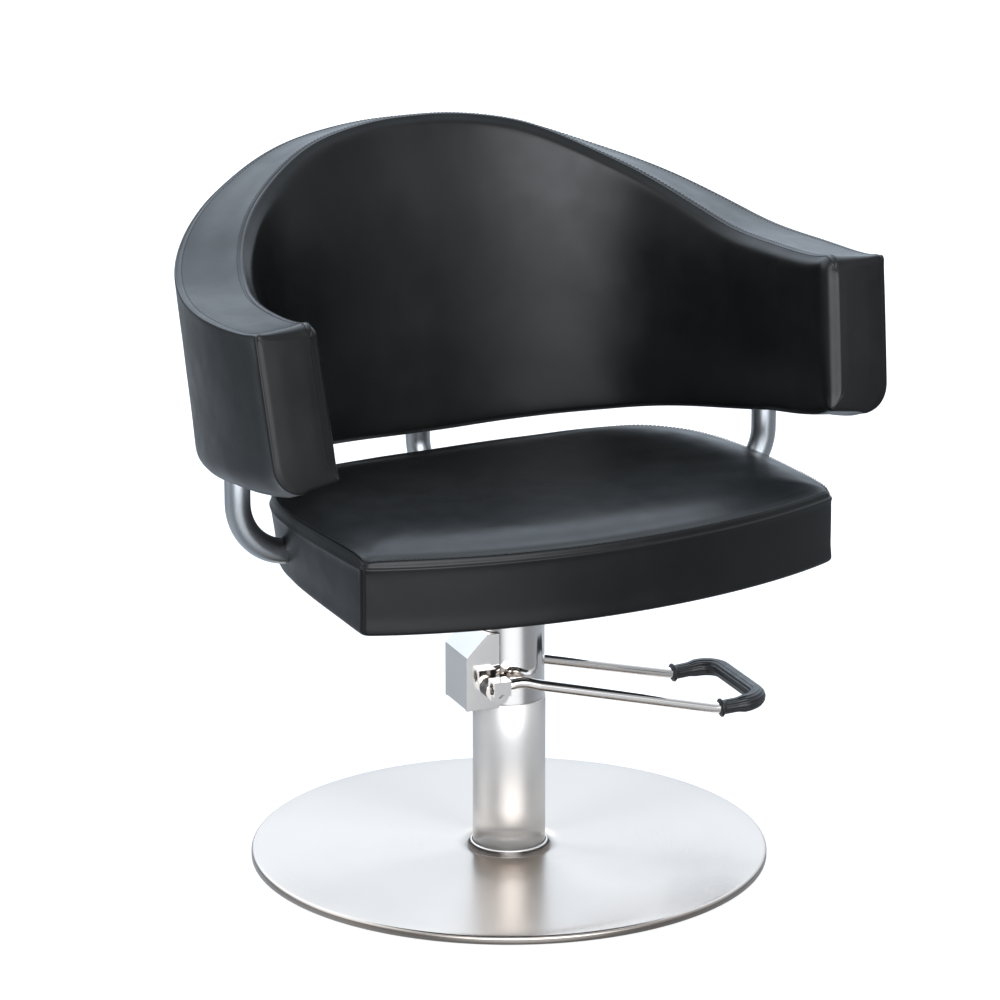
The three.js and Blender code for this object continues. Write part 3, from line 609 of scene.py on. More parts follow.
def make_back():
    outline, outline_normals = section(ARM_END_ANGLE)
    panel = front_panel(outline, outline_normals, front_edge_radius(outline))
    rings = back_rings(outline, outline_normals, panel)
    count = len(rings)
    grid_shape = (count, SECTION_ROWS)
    numbers = np.arange(count * SECTION_ROWS).reshape(grid_shape)
    faces = loop_quads(numbers)
    faces += [face for face in slit_faces(numbers[0])]
    faces += [face[::-1] for face in slit_faces(numbers[-1])]
    ob = mesh_object("back_cover_leather", rings.reshape(-1, 3), faces)

    # crown between the seams
    pinned = np.zeros(grid_shape, bool)
    pinned[:, [OUTER_SEAM, INNER_SEAM]] = True
    pinned[:, :4] = True
    pinned[:, 71:] = True
    panel_seams = (PANEL_SEAM, count - 1 - PANEL_SEAM)
    pinned[list(panel_seams)] = True
    start = read_vertices(ob.data, "co")
    normals = read_vertices(ob.data, "normal")
    swell = cloth_swell(ob, pinned.ravel(), cap=5.0).reshape(grid_shape)
    # freed of its short buckles, less the stretch of the foam it is sewn over
    swell = blur(swell, sigma_rows=5.0, sigma_columns=2.6)
    hold = back_hold(count)
    lift = np.clip(swell, -1.0, 4.5) * hold - 2.4 * hold * SHRINK_ON
    # the small front panels are crowned by a plain dome
    mid_z, half_z = middle_and_half(outline)
    for i, ring in enumerate(panel):
        across = np.clip((ring[:, 0] - WALL / 2) / (WALL / 2 - 4), -1, 1)
        upward = np.clip((ring[:, 1] - mid_z) / (half_z - 4), -1, 1)
        for k in (i, count - 1 - i):
            lift[k] = 1.5 * (1 - across**2) * (1 - upward**4)
    co = start + normals * lift.ravel()[:, None] * MM

    # long soft unevenness of foam under the cover
    points = co / MM
    calm = hold.ravel()
    for uneven in (
        wobble(points, amplitude=0.50, scale=170.0),
        wobble(points, amplitude=0.10, scale=52.0, seed=1.7),
    ):
        co = co + normals * (uneven * calm)[:, None] * MM

    # grooves, with gathered corners where three seams meet
    relief = back_grooves(count)
    points = co / MM
    for ring in panel_seams:
        for seam in (OUTER_SEAM, INNER_SEAM):
            corner = points[ring * SECTION_ROWS + seam]
            relief = relief + pucker(
                points, corner, depth=0.55, folds=6, phase=0.6, rise=4.0, reach=40
            )
    move_vertices(ob.data, co + normals * relief[:, None] * MM)

    cover = read_vertices(ob.data, "co").reshape(count, SECTION_ROWS, 3) / MM
    cover_normals = read_vertices(ob.data, "normal").reshape(count, SECTION_ROWS, 3)
    subdivide(ob)
    run = slice(PANEL_SEAM + 1, count - PANEL_SEAM - 1)
    rows = (OUTER_SEAM + 2, INNER_SEAM - 2, INNER_SEAM + 2)
    thread = stitches(
        "back_stitching",
        [cover[run, row] for row in rows],
        [cover_normals[run, row] for row in rows],
    )
    return ob, thread


# ------------------------------------------------------------------ seat
SEAT_BOTTOM, SEAT_SEAM, SEAT_TOP = 358.0, 433.0, 452.0
SEAT_RECESS = 374.9  # ceiling of the hollow in the underside
SEAT_FRONT_Y, SEAT_BOW, SEAT_HALF_X = -214, 62.0, 289
SEAT_CENTRE = np.array([0.0, -72.0])
SEAM_SCALE = 0.9975  # of the plan outline about SEAT_CENTRE
SEAT_REACH = 245.0  # distance in over which that scale would fall by one

SIDE_Y = [SEAT_FRONT_Y, -150, -100, -50, 0, 45, 80, 105]
side_x = spline(SIDE_Y, [288.4, 289.5, 290, 289, 284, 272, 252, 228])
SIDE_RUN_IN = [0, 6, 10, 13.5, 15.5, 13.5, 7, 3]  # at SIDE_Y, at the bottom edge
SIDE_END_Y = 62

# (x, y) round the rear corner to the middle; the last one only steers the curve
REAR_KNOTS = [
    [241, 92], [216, 111], [181, 121], [130, 126], [60, 128], [0, 128], [-60, 128],
]

# height of the top by distance in from the front edge, and from the sides and rear
top_from_front = spline(
    [0, 1.0, 3.0, 8.0, 18, 35, 60, 245],
    [SEAT_SEAM, 436.6, 440.8, 445.8, 449.0, 450.8, 451.5, SEAT_TOP],
)
top_from_side = spline(
    [0, 0.8, 2.5, 6, 12, 25, 60, 245],
    [SEAT_SEAM, 438.2, 443.4, 447.8, 450.0, 451.2, 451.8, SEAT_TOP],
)
# distances in of the rings of the top
TOP_RINGS = (
    1.4, 3.2, 6.2, 10.5, 15.5, 21.5, 29, 38, 49, 62, 77, 94, 113, 134, 157, 182, 207, 229,
)


def seat_outline():
    """Closed plan outline from the front centre, and which points are the two front corners."""
    x = np.linspace(0, 282, 120)
    bow = SEAT_BOW * (1 - (x / SEAT_HALF_X) ** 2) ** 0.9
    front = np.stack([x, SEAT_FRONT_Y - bow], -1)
    # quadratic curve round the corner
    side_start_y = -206.0
    p0, p1, p2 = front[-1], np.array([288.6, -214.8]), np.array([288.2, side_start_y])
    t = np.linspace(0, 1, 14)[1:, None]
    corner = (1 - t) ** 2 * p0 + 2 * t * (1 - t) * p1 + t * t * p2
    side_y = np.linspace(side_start_y, SIDE_END_Y, 120)[1:]
    side = np.stack([side_x(side_y), side_y], -1)
    # Catmull-Rom through the rear knots
    lead_in = [[float(side_x(y)), y] for y in (40, SIDE_END_Y)]
    knots = np.array(lead_in + REAR_KNOTS)
    rear = []
    for a, b, c, d in zip(knots, knots[1:], knots[2:], knots[3:]):
        for u in np.linspace(0, 1, 16)[1:]:
            square = (2 * a - 5 * b + 4 * c - d) * u * u
            rear.append(0.5 * (2 * b + (c - a) * u + square + (3 * b - a - 3 * c + d) * u**3))
    half = np.concatenate([front, corner, side, np.array(rear)])
    # even spacing, closing up at the corner
    along = run_length(half)
    at_corner = along[len(front) + 5]
    wide, close = 1 / 9.0, 1 / 2.2
    density = wide + (close - wide) * np.exp(-(((along - at_corner) / 12.0) ** 2))
    steps = (density[1:] + density[:-1]) / 2 * np.diff(along)
    total = np.concatenate([[0], np.cumsum(steps)])
    count = int(round(total[-1]))
    at = np.interp(np.linspace(0, total[-1], count + 1), total, along)
    corner_index = int(np.argmin(np.abs(at - at_corner)))
    points = np.stack([np.interp(at, along, half[:, 0]), np.interp(at, along, half[:, 1])], -1)
    points[0, 0] = points[-1, 0] = 0
    mirrored = points[1:-1][::-1].copy()
    mirrored[:, 0] *= -1
    full = np.concatenate([points, mirrored])
    return full, corner_index, len(full) - corner_index


def seat_rows():
    """(plan scale, z) of every ring from the hollow underneath to the top, and two row numbers.

    The numbers are the top of the bottom edge's rounding and the seam. Rings over the seam are
    given their heights later.
    """
    rows = [(scale, SEAT_RECESS) for scale in (0.30, 0.62, 0.925)]
    rows += [(0.926, 366.0), (0.93, SEAT_BOTTOM), (0.95, SEAT_BOTTOM)]
    edge_r = 5
    for degrees in np.linspace(0, 90, 5):
        t = math.radians(degrees)
        rows.append((1 - 0.018 * (1 - math.sin(t)), SEAT_BOTTOM + edge_r * (1 - math.cos(t))))
    edge = len(rows) - 1
    rows += [(1.0, z) for z in np.linspace(SEAT_BOTTOM + edge_r, 427, 10)[1:]]
    rows += [(1.0, 429.8), (0.999, 431.6), (SEAM_SCALE, SEAT_SEAM)]
    seam = len(rows) - 1
    rows += [(SEAM_SCALE - distance / SEAT_REACH, SEAT_SEAM) for distance in TOP_RINGS]
    return rows, edge, seam


def distance_to(points, line):
    """Distance of each point from a polyline, never less than 0.05."""
    start, step = line[:-1], line[1:] - line[:-1]
    t = ((points[:, None] - start) * step).sum(-1) / np.maximum((step * step).sum(-1), 1e-9)
    near = start + np.clip(t, 0, 1)[..., None] * step
    return np.maximum(np.linalg.norm(points[:, None] - near, axis=-1).min(1), 0.05)


def seat_rings(outline, corners, rows, seam):
    rings = np.array(
        [
            np.concatenate(
                [SEAT_CENTRE + (outline - SEAT_CENTRE) * scale, np.full((len(outline), 1), z)], 1
            )
            for scale, z in rows
        ]
    )
    # the sides run in a little towards the bottom
    run_in = np.interp(outline[:, 1], SIDE_Y, SIDE_RUN_IN)
    run_in = run_in * smooth((np.abs(outline[:, 0]) - 150) / 80) * np.sign(outline[:, 0])
    for ring in rings[:seam]:
        ring[:, 0] -= run_in * (SEAT_SEAM - ring[:, 2]) / (SEAT_SEAM - SEAT_BOTTOM)
    # the top's two edge profiles multiply, which blends them at the corners
    first, second = corners
    seam_line = rings[seam][:, :2]
    front_line = np.concatenate([seam_line[second:], seam_line[: first + 1]])
    rest_line = seam_line[first : second + 1]
    rise = SEAT_TOP - SEAT_SEAM
    for ring in rings[seam + 1 :]:
        plan = ring[:, :2]
        front_rise = top_from_front(distance_to(plan, front_line)) - SEAT_SEAM
        side_rise = top_from_side(distance_to(plan, rest_line)) - SEAT_SEAM
        ring[:, 2] = SEAT_SEAM + rise * front_rise / rise * side_rise / rise
    return rings


def with_centres(grid, under, top):
    """Values of a grid of rings followed by those of the two centre vertices."""
    return np.concatenate([grid.ravel(), [under, top]])


def seat_swell(ob, shape, edge, seam, corners):
    """The cloth crown, smoothed apart below and above the seam."""
    pinned = np.zeros(shape, bool)
    pinned[: edge + 1] = True
    pinned[seam] = True
    pinned[edge : seam + 1, list(corners)] = True
    swell = cloth_swell(ob, with_centres(pinned, True, False), cap=6.0)
    grid = swell[: pinned.size].reshape(shape)
    low = blur(grid[: seam + 1], sigma_rows=1.2, sigma_columns=6.0)
    top = blur(grid[seam:], sigma_rows=1.8, sigma_columns=9.0)
    return with_centres(np.concatenate([low[:-1], top]), 0.0, float(top[-1].mean()))


def seat_hold(shape, edge, seam):
    """Share of the crown each vertex takes."""
    hold = np.ones(shape)
    hold[: edge + 1] = 0
    hold[seam] = 0
    hold[[seam - 1, seam + 1]] = 0.3
    hold[[seam - 2, seam + 2]] = 0.6
    hold[edge + 1] = 0.5
    return with_centres(hold, 0.0, 1.0)


def seat_grooves(shape, edge, seam, corners):
    """Sewn grooves round the top and down the two front corners."""
    groove = np.zeros(shape)
    groove[seam] = -2.6
    for step, raised in ((-1, 0.15), (1, 0.2), (-2, 0.5), (2, 0.6)):
        groove[seam + step] += raised
    for corner in corners:
        groove[edge:seam, corner] = -1.5
        groove[edge:seam, [corner - 1, corner + 1]] += 0.2
        groove[edge:seam, [corner - 2, corner + 2]] += 0.35
    return with_centres(groove, 0, 0)


def make_seat():
    outline, *corners = seat_outline()
    rows, edge, seam = seat_rows()
    rings = seat_rings(outline, corners, rows, seam)
    shape = ring_count, count = rings.shape[:2]
    size = ring_count * count
    numbers = np.arange(size).reshape(shape)
    top_centre = [*SEAT_CENTRE, float(rings[-1][:, 2].mean()) + 0.05]
    vertices = np.vstack([rings.reshape(-1, 3), [[*SEAT_CENTRE, SEAT_RECESS]], [top_centre]])
    faces = loop_quads(numbers)
    for i in range(count):
        j = (i + 1) % count
        faces.append([size, int(numbers[0, j]), int(numbers[0, i])])
        faces.append([size + 1, int(numbers[-1, i]), int(numbers[-1, j])])
    ob = mesh_object("seat_cover_leather", vertices, faces)

    # crown, less the shrink of the foam
    start = read_vertices(ob.data, "co")
    normals = read_vertices(ob.data, "normal")
    swell = seat_swell(ob, shape, edge, seam, corners)
    hold = seat_hold(shape, edge, seam)
    top = np.zeros(shape)
    top[seam + 1 :] = 1.0
    top = with_centres(top, 0.0, 1.0)
    shrink = np.where(top > 0, 2.6, 1.6) * SHRINK_ON
    co = start + normals * ((np.clip(swell, -1, 5.5) - shrink) * hold)[:, None] * MM

    # unevenness of the foam, halved below the seam
    points = start / MM
    uneven = wobble(points, amplitude=0.7, scale=230.0, seed=0.6)
    uneven = uneven + wobble(points, amplitude=0.14, scale=64.0, seed=2.2)
    co = co + normals * (uneven * hold * np.where(top > 0, 1, 0.5))[:, None] * MM

    # grooves and gathered corners
    relief = seat_grooves(shape, edge, seam, corners)
    for corner in corners:
        relief = relief + pucker(
            points, points[seam * count + corner],
            depth=0.8, folds=5, phase=0.3, rise=3.0, reach=60, z_stretch=1.6,
        )
    co = co + normals * relief[:, None] * MM

    # shallow hollow along each side of the top, fading towards the front corner and the rear
    x, y = points[:, 0], points[:, 1]
    inset = np.abs(x) / np.interp(y, [SEAT_FRONT_Y, -100, 0, 105], [288, 290, 284, 228])
    hollow = np.exp(-(((inset - 0.965) / 0.028) ** 2))
    hollow = hollow * smooth((y + 212) / 30) * smooth((60 - y) / 120)
    co[:, 2] += -0.5 * hollow * top * np.minimum(1, hold + 0.3) * MM
    move_vertices(ob.data, co)

    cover = read_vertices(ob.data, "co")[:size].reshape(ring_count, count, 3) / MM
    cover_normals = read_vertices(ob.data, "normal")[:size].reshape(ring_count, count, 3)
    loop = np.arange(count + 1) % count
    subdivide(ob)
    thread = stitches("seat_stitching", [cover[seam + 2][loop]], [cover_normals[seam + 2][loop]])
    return ob, thread


back_cover, back_thread = make_back()
seat_cover, seat_thread = make_seat()
for ob, node in ((back_cover, "back_upholstery"), (seat_cover, "seat_cushion")):
    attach(ob, "seat")
    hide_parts(node)
    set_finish(ob, "leather")
for ob in (back_thread, seat_thread):
    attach(ob, "seat")
    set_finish(ob, "leather")

# ------------------------------------------------------------------ hard pieces, finer than the frame
hard_pieces = []


def stand_in(ob, body, node, slot):
    """Puts a piece in place of one of the frame's."""
    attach(ob, body)
    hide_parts(node)
    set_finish(ob, slot)
    hard_pieces.append(ob)
    return ob


# ---- base and column
BASE_R, BASE_RIM_R = 290.0, 3.6
BASE_UNDER_Z, BASE_RIM_ARC_Z = 0.8, 6.05
DOME_R, DOME_BORE_R = 284, 43
SLEEVE_R, SLEEVE_BORE_R = 40.8, 40.8 - 1.3
SLEEVE_FOOT, SLEEVE_TOP = 13.1, 186.0
FOOT_RING_R, FOOT_RING_BORE_R, FOOT_RING_TOP = 43.6, SLEEVE_R + 0.5, 15.2
NUT_BORE_R, NUT_BOTTOM, NUT_TOP = 14.6, 306.3, 318


def make_base_disc():
    rim = [
        (BASE_R - BASE_RIM_R + BASE_RIM_R * math.cos(t), BASE_RIM_ARC_Z + BASE_RIM_R * math.sin(t))
        for t in np.linspace(0, math.pi / 2 * 0.97, 7)
    ]
    dome_r, dome_z = [DOME_BORE_R, 110, 170, 230, DOME_R], [12.8, 12.35, 11.7, 10.9, 9.9]
    dome = [(r, float(np.interp(r, dome_r, dome_z))) for r in np.linspace(DOME_R, DOME_BORE_R, 14)]
    lower_edge = [(289.2, BASE_UNDER_Z), (BASE_R, 1.4)]
    underside = [(DOME_BORE_R, 11.5), (170, 10.4), (288, 8.2), (288, BASE_UNDER_Z)]
    disc = lathe("base_disc", lower_edge + rim + dome + underside, segments=288)
    stand_in(disc, "base", "base_cover", "stainless")


def make_column():
    """The sleeve and its foot ring, which share a turned finish, then the nut on top."""
    profile = [
        (SLEEVE_BORE_R, SLEEVE_FOOT), (SLEEVE_R, SLEEVE_FOOT), (SLEEVE_R, 60), (SLEEVE_R, 120),
        (SLEEVE_R, SLEEVE_TOP - 0.5), (SLEEVE_R - 0.25, SLEEVE_TOP - 0.12),
        (SLEEVE_R - 0.6, SLEEVE_TOP), (SLEEVE_BORE_R, SLEEVE_TOP),
    ]
    sleeve = lathe("lower_column", profile, segments=128)
    stand_in(sleeve, "base", "column_sleeve", "chrome")
    profile = [
        (FOOT_RING_BORE_R, SLEEVE_FOOT), (FOOT_RING_R, SLEEVE_FOOT), (FOOT_RING_R, 14.2),
        (43.2, 14.9), (42.4, FOOT_RING_TOP), (FOOT_RING_BORE_R, FOOT_RING_TOP),
    ]
    foot_ring = lathe("column_foot_trim", profile, segments=128)
    stand_in(foot_ring, "base", "column_foot_ring", "chrome")
    profile = [
        (NUT_BORE_R, NUT_BOTTOM), (38.6, NUT_BOTTOM), (39.3, 306.6), (39.6, 307.2),
        (39.6, 316.6), (39.1, 317.6), (38.2, NUT_TOP), (NUT_BORE_R, NUT_TOP),
    ]
    nut = lathe("column_top_nut", profile, segments=128)
    stand_in(nut, "base", "gland_nut", "chrome")
    return sleeve, foot_ring


# ---- tubes that carry the back
TUBE_R, TUBE_BORE, TUBE_Z = 14.0, 12.0, 391.0
TUBE_X, TUBE_Y, TUBE_REAR_Y = 328.0, 3.0, 222.0
TUBE_START_X, TUBE_TOP, TUBE_REAR_TOP = 140, 585, 560
TUBE_BEND, TUBE_REAR_BEND = 62.0, 40.0


def make_tubes():
    paths = []
    for place, side in (("left", -1), ("right", 1)):
        x = side * TUBE_X
        path = [(side * TUBE_START_X, TUBE_Y, TUBE_Z), (x, TUBE_Y, TUBE_Z), (x, TUBE_Y, TUBE_TOP)]
        paths.append((place, path, TUBE_BEND))
    path = [(0, 40, TUBE_Z), (0, TUBE_REAR_Y, TUBE_Z), (0, TUBE_REAR_Y, TUBE_REAR_TOP)]
    paths.append(("rear", path, TUBE_REAR_BEND))
    for place, path, bend in paths:
        points, tangents = rounded(path, [bend], math.radians(3.5))
        tube = sweep("back_tube_" + place, points, tangents, TUBE_R, segments=48, bore=TUBE_BORE)
        stand_in(tube, "seat", "carrying_tube_" + place, "satin")


# ---- foot lever: a bar bent into a loop, mirrored about its own XZ plane
LEVER_TURN = math.radians(-6.2)  # about +Z
ROD_R = 6.2
ROD_HALF = [
    (-38, 58, 215.6), (-8, 58.6, 219.6), (12, 60, 213.6), (226.9, 66.9, 161.8), (282, 68.6, 165.6),
]
ROD_BENDS = [40, 40, 60, 24]
GRIP_START = (227.4, 66.9, 161.8)
GRIP_SEGMENTS, FLUTES = 112, 14


def with_mirror(half):
    return half + [(x, -y, z) for x, y, z in half[::-1]]


def from_lever(vectors):
    """Points or directions from the lever's own frame to the chair's."""
    c, s = math.cos(LEVER_TURN), math.sin(LEVER_TURN)
    x, y, z = vectors[:, 0], vectors[:, 1], vectors[:, 2]
    return np.stack([x * c - y * s, x * s + y * c, z], -1)


def make_lever_rod():
    bends = ROD_BENDS + ROD_BENDS[::-1]
    points, tangents = rounded(with_mirror(ROD_HALF), bends, math.radians(4))
    rod = sweep("foot_lever_rod", from_lever(points), from_lever(tangents), ROD_R, segments=32)
    stand_in(rod, "lever", "lever_rod", "chrome")


def make_lever_grip():
    bend = ROD_BENDS[-1]
    corners = with_mirror([GRIP_START, ROD_HALF[-1]])
    points, tangents = rounded(corners, [bend, bend], math.radians(3), line_step=1.3)
    along = run_length(points)
    from_end = np.minimum(along, along[-1] - along)
    # fuller in the middle, with a raised collar near each end and a small step at the end itself
    radius = 8.35 + 1.75 * smooth((from_end - 20) / 12)
    radius = radius + 2.3 * np.exp(-(((from_end - 2.2) / 1.7) ** 4))
    radius = np.where(from_end < 0.5, radius - 1.2, radius)
    # lengthwise flutes, fading out at the collars
    flute = (0.5 + 0.5 * np.cos(FLUTES * round_turn(GRIP_SEGMENTS))) ** 1.5
    depth = 0.055 * smooth((from_end - 5) / 3)
    radius = radius[:, None] * (1 - depth[:, None] * flute)
    grip = sweep(
        "foot_lever_grip", from_lever(points), from_lever(tangents), radius,
        segments=GRIP_SEGMENTS, bore=ROD_R + 0.25,
    )
    stand_in(grip, "lever", "lever_grip", "rubber")


make_base_disc()
turned_pieces = make_column()
make_tubes()
make_lever_rod()
make_lever_grip()

# ------------------------------------------------------------------ pieces kept from the frame
BEVELS = {
    "pump_cover": 0.9,
    "lever_hub_front": 0.9,
    "lever_hub_rear": 0.9,
    "pump_body": 0.4,
    "swivel_plate": 0.7,
    "seat_frame": 0.6,
    "pivot_bush_front": 0.6,
    "pivot_bush_rear": 0.6,
}
OTHER_BEVEL = 0.25


def soften(ob, width):
    """Small rounded edges and smooth shading; the weld joins split vertices first."""
    weld = ob.modifiers.new("weld", "WELD")
    weld.merge_threshold = 1e-6
    bevel = ob.modifiers.new("bevel", "BEVEL")
    bevel.width = width * MM
    bevel.segments = 2
    bevel.limit_method = "ANGLE"
    bevel.angle_limit = math.radians(30)
    bevel.harden_normals = False
    weighted = ob.modifiers.new("normals", "WEIGHTED_NORMAL")
    weighted.keep_sharp = False
    shade_smooth(ob)


for name, ob in frame["nodes"].items():
    if not ob.hide_render:
        soften(ob, BEVELS.get(name, OTHER_BEVEL))


# ------------------------------------------------------------------ materials
# Texture scales are per metre and bump distances are in metres.
class Nodes:
    """A cleared node tree, with short ways to add nodes; a value may be a number or a socket."""

    def __init__(self, owner):
        owner.use_nodes = True
        self.tree = owner.node_tree
        self.tree.nodes.clear()

    def put(self, socket, value):
        if isinstance(value, bpy.types.NodeSocket):
            self.tree.links.new(value, socket)
        else:
            socket.default_value = value

    def node(self, kind, *values, props=None, **inputs):
        """A node with its first inputs from values and others by name, _ standing for a space."""
        node = self.tree.nodes.new(kind)
        for key, value in (props or {}).items():
            setattr(node, key, value)
        for socket, value in zip(node.inputs, values):
            self.put(socket, value)
        for key, value in inputs.items():
            self.put(node.inputs[key.replace("_", " ")], value)
        return node

    def math(self, operation, a, b):
        return self.node("ShaderNodeMath", a, b, props={"operation": operation}).outputs[0]

    def add(self, a, b):
        return self.math("ADD", a, b)

    def vector(self, operation, *values):
        node = self.node("ShaderNodeVectorMath", *values, props={"operation": operation})
        return node.outputs["Value" if operation in ("LENGTH", "DOT_PRODUCT") else "Vector"]

    def span(self, value, low, high, start=0.3, end=0.7):
        """Smoothly from low to high as value goes from start to end."""
        node = self.node(
            "ShaderNodeMapRange", props={"interpolation_type": "SMOOTHSTEP"},
            Value=value, From_Min=start, From_Max=end, To_Min=low, To_Max=high,
        )
        return node.outputs[0]


class Material(Nodes):
    """A material round one Principled shader, textured in object coordinates."""

    def __init__(self, name, **inputs):
        self.material = bpy.data.materials.new(name)
        super().__init__(self.material)
        self.principled = self.node("ShaderNodeBsdfPrincipled", **inputs)
        self.node("ShaderNodeOutputMaterial", self.principled.outputs[0])
        self.place = self.node("ShaderNodeTexCoord").outputs["Object"]
        self.normal = None

    def noise(self, scale, detail=3.0, rough=0.55, place=None, distortion=0.0):
        node = self.node(
            "ShaderNodeTexNoise", Vector=place or self.place,
            Scale=scale, Detail=detail, Roughness=rough, Distortion=distortion,
        )
        return node.outputs["Fac"]

    def cells(self, feature, scale):
        node = self.node(
            "ShaderNodeTexVoronoi", props={"feature": feature}, Vector=self.place, Scale=scale
        )
        return node.outputs["Distance"]

    def colour(self, value, dark, light, start=0.3, end=0.7, middle=None):
        """Base colour from dark to light as value goes from start to end."""
        node = self.node("ShaderNodeValToRGB", value)
        stops = node.color_ramp.elements
        stops[0].position, stops[0].color = start, (*dark, 1)
        stops[1].position, stops[1].color = end, (*light, 1)
        if middle:
            stops.new(0.5).color = (*middle, 1)
        self.put(self.principled.inputs["Base Color"], node.outputs[0])

    def rough(self, value):
        self.put(self.principled.inputs["Roughness"], value)

    def bump(self, height, distance, strength):
        """A bump laid over the ones before it."""
        node = self.node("ShaderNodeBump", Height=height, Distance=distance, Strength=strength)
        if self.normal is not None:
            self.put(node.inputs["Normal"], self.normal)
        self.normal = node.outputs[0]
        self.put(self.principled.inputs["Normal"], self.normal)

    def turned_tangent(self):
        """Anisotropic highlights run round the Z axis."""
        node = self.node("ShaderNodeTangent", props={"direction_type": "RADIAL", "axis": "Z"})
        self.put(self.principled.inputs["Tangent"], node.outputs[0])


def leatherette():
    m = Material("leatherette_black", IOR=1.40)
    broad = m.noise(scale=7.0, detail=4.0)
    patches = m.noise(scale=38.0, detail=4.0, rough=0.6)
    m.colour(
        broad, dark=(0.0018, 0.0020, 0.0019), light=(0.0030, 0.0032, 0.0030), start=0.35, end=0.65
    )
    rough = m.add(m.span(broad, low=0.33, high=0.40), m.span(patches, low=-0.02, high=0.03))
    # a little rougher on convex edges
    pointiness = m.node("ShaderNodeNewGeometry").outputs["Pointiness"]
    m.rough(m.add(rough, m.span(pointiness, low=0.0, high=0.05, start=0.53, end=0.62)))
    # soft rumpling of the skin, then the fine embossed grain
    m.bump(m.noise(scale=13.0, detail=2.0, rough=0.45), distance=0.0018, strength=0.4)
    rumple = m.noise(scale=60.0, detail=2.0, rough=0.5, distortion=0.2)
    m.bump(rumple, distance=0.00026, strength=0.3)
    m.bump(m.cells("F1", scale=1150.0), distance=0.00006, strength=0.2)
    return m.material


def thread():
    m = Material("thread_black", IOR=1.45)
    fibre = m.noise(scale=2600.0, detail=2.0)
    m.colour(fibre, dark=(0.012, 0.013, 0.014), light=(0.028, 0.03, 0.032))
    m.rough(m.span(fibre, low=0.5, high=0.7))
    m.bump(fibre, distance=0.0001, strength=0.6)
    return m.material


def stainless_turned():
    m = Material("stainless_turned", Metallic=1.0, Anisotropic=0.72)
    m.turned_tangent()
    flat = m.vector("MULTIPLY", m.place, (1, 1, 0))
    radius, around = m.vector("LENGTH", flat), m.vector("NORMALIZE", flat)
    # painted highlight: the base colour turns lighter and darker with the angle round the axis,
    # standing in for wedge-shaped lamp reflections
    painted_wedge_highlight = m.noise(scale=1.1, detail=1.0, rough=0.4, place=around)
    # fine rings about the column axis
    rings = m.node(
        "ShaderNodeTexNoise", props={"noise_dimensions": "1D"},
        W=m.math("MULTIPLY", radius, 900.0), Scale=1.0, Detail=3.0, Roughness=0.7,
    ).outputs["Fac"]
    # base colour: the painted wedge highlight plus the real ring-to-ring variation of the turned
    # grain
    highlight_and_rings = m.add(
        m.span(painted_wedge_highlight, low=0.0, high=1.0, start=0.25, end=0.75),
        m.span(rings, low=-0.15, high=0.15),
    )
    m.colour(highlight_and_rings, dark=(0.400, 0.352, 0.312), light=(0.490, 0.432, 0.384), start=0.0, end=1.0)
    smears = m.span(m.noise(scale=9.0), low=-0.02, high=0.03)
    m.rough(m.add(m.span(rings, low=0.17, high=0.25), smears))
    m.bump(rings, distance=0.00002, strength=0.4)
    return m.material


def chrome(name, dark, light, rough, scratch_z, **inputs):
    """Chrome with fine scratches; scratch_z squeezes them (over 1) or draws them out along Z."""
    m = Material(name, **inputs)
    clouds = m.noise(scale=14.0, detail=3.0)
    place = m.vector("MULTIPLY", m.place, (1.0, 1.0, scratch_z))
    scratches = m.noise(scale=420.0, detail=3.0, rough=0.7, place=place)
    m.colour(clouds, dark, light)
    m.rough(m.add(m.span(clouds, *rough), m.span(scratches, low=0.0, high=0.02)))
    m.bump(scratches, distance=0.000006, strength=0.3)
    return m


def chrome_bright():
    return chrome(
        "chrome_bright", dark=(0.84, 0.80, 0.765), light=(0.90, 0.86, 0.825),
        rough=(0.05, 0.09), scratch_z=0.06, Metallic=1.0,
    ).material


def chrome_turned():
    m = chrome(
        "chrome_turned", dark=(0.66, 0.635, 0.61), light=(0.73, 0.705, 0.68),
        rough=(0.29, 0.35), scratch_z=6.0, Metallic=0.62, Anisotropic=0.75,
    )
    m.turned_tangent()
    return m.material


def satin():
    m = Material("satin_metal", Metallic=1.0)
    grain = m.noise(scale=1800.0, detail=2.0)
    clouds = m.noise(scale=16.0)
    m.colour(grain, dark=(0.38, 0.395, 0.41), light=(0.48, 0.495, 0.515))
    m.rough(m.add(m.span(clouds, low=0.27, high=0.35), m.span(grain, low=0.0, high=0.05)))
    m.bump(grain, distance=0.00003, strength=0.4)
    return m.material


def plain_metal(name, dark, light, metallic, rough):
    m = Material(name, Metallic=metallic)
    mottle = m.noise(scale=60.0, detail=5.0, rough=0.65)
    grain = m.noise(scale=900.0, detail=2.0)
    m.colour(mottle, dark, light)
    m.rough(m.add(m.span(mottle, *rough), m.span(grain, low=-0.03, high=0.03)))
    m.bump(grain, distance=0.00004, strength=0.4)
    return m.material


def moulded(name, dark, light, rough, grain_scale):
    m = Material(name, IOR=1.47)
    mottle = m.noise(scale=45.0, detail=4.0)
    grain = m.noise(scale=grain_scale, detail=2.0, rough=0.6)
    m.colour(mottle, dark, light)
    m.rough(m.add(m.span(mottle, *rough), m.span(grain, low=-0.04, high=0.04)))
    m.bump(grain, distance=0.00006, strength=0.5)
    return m.material


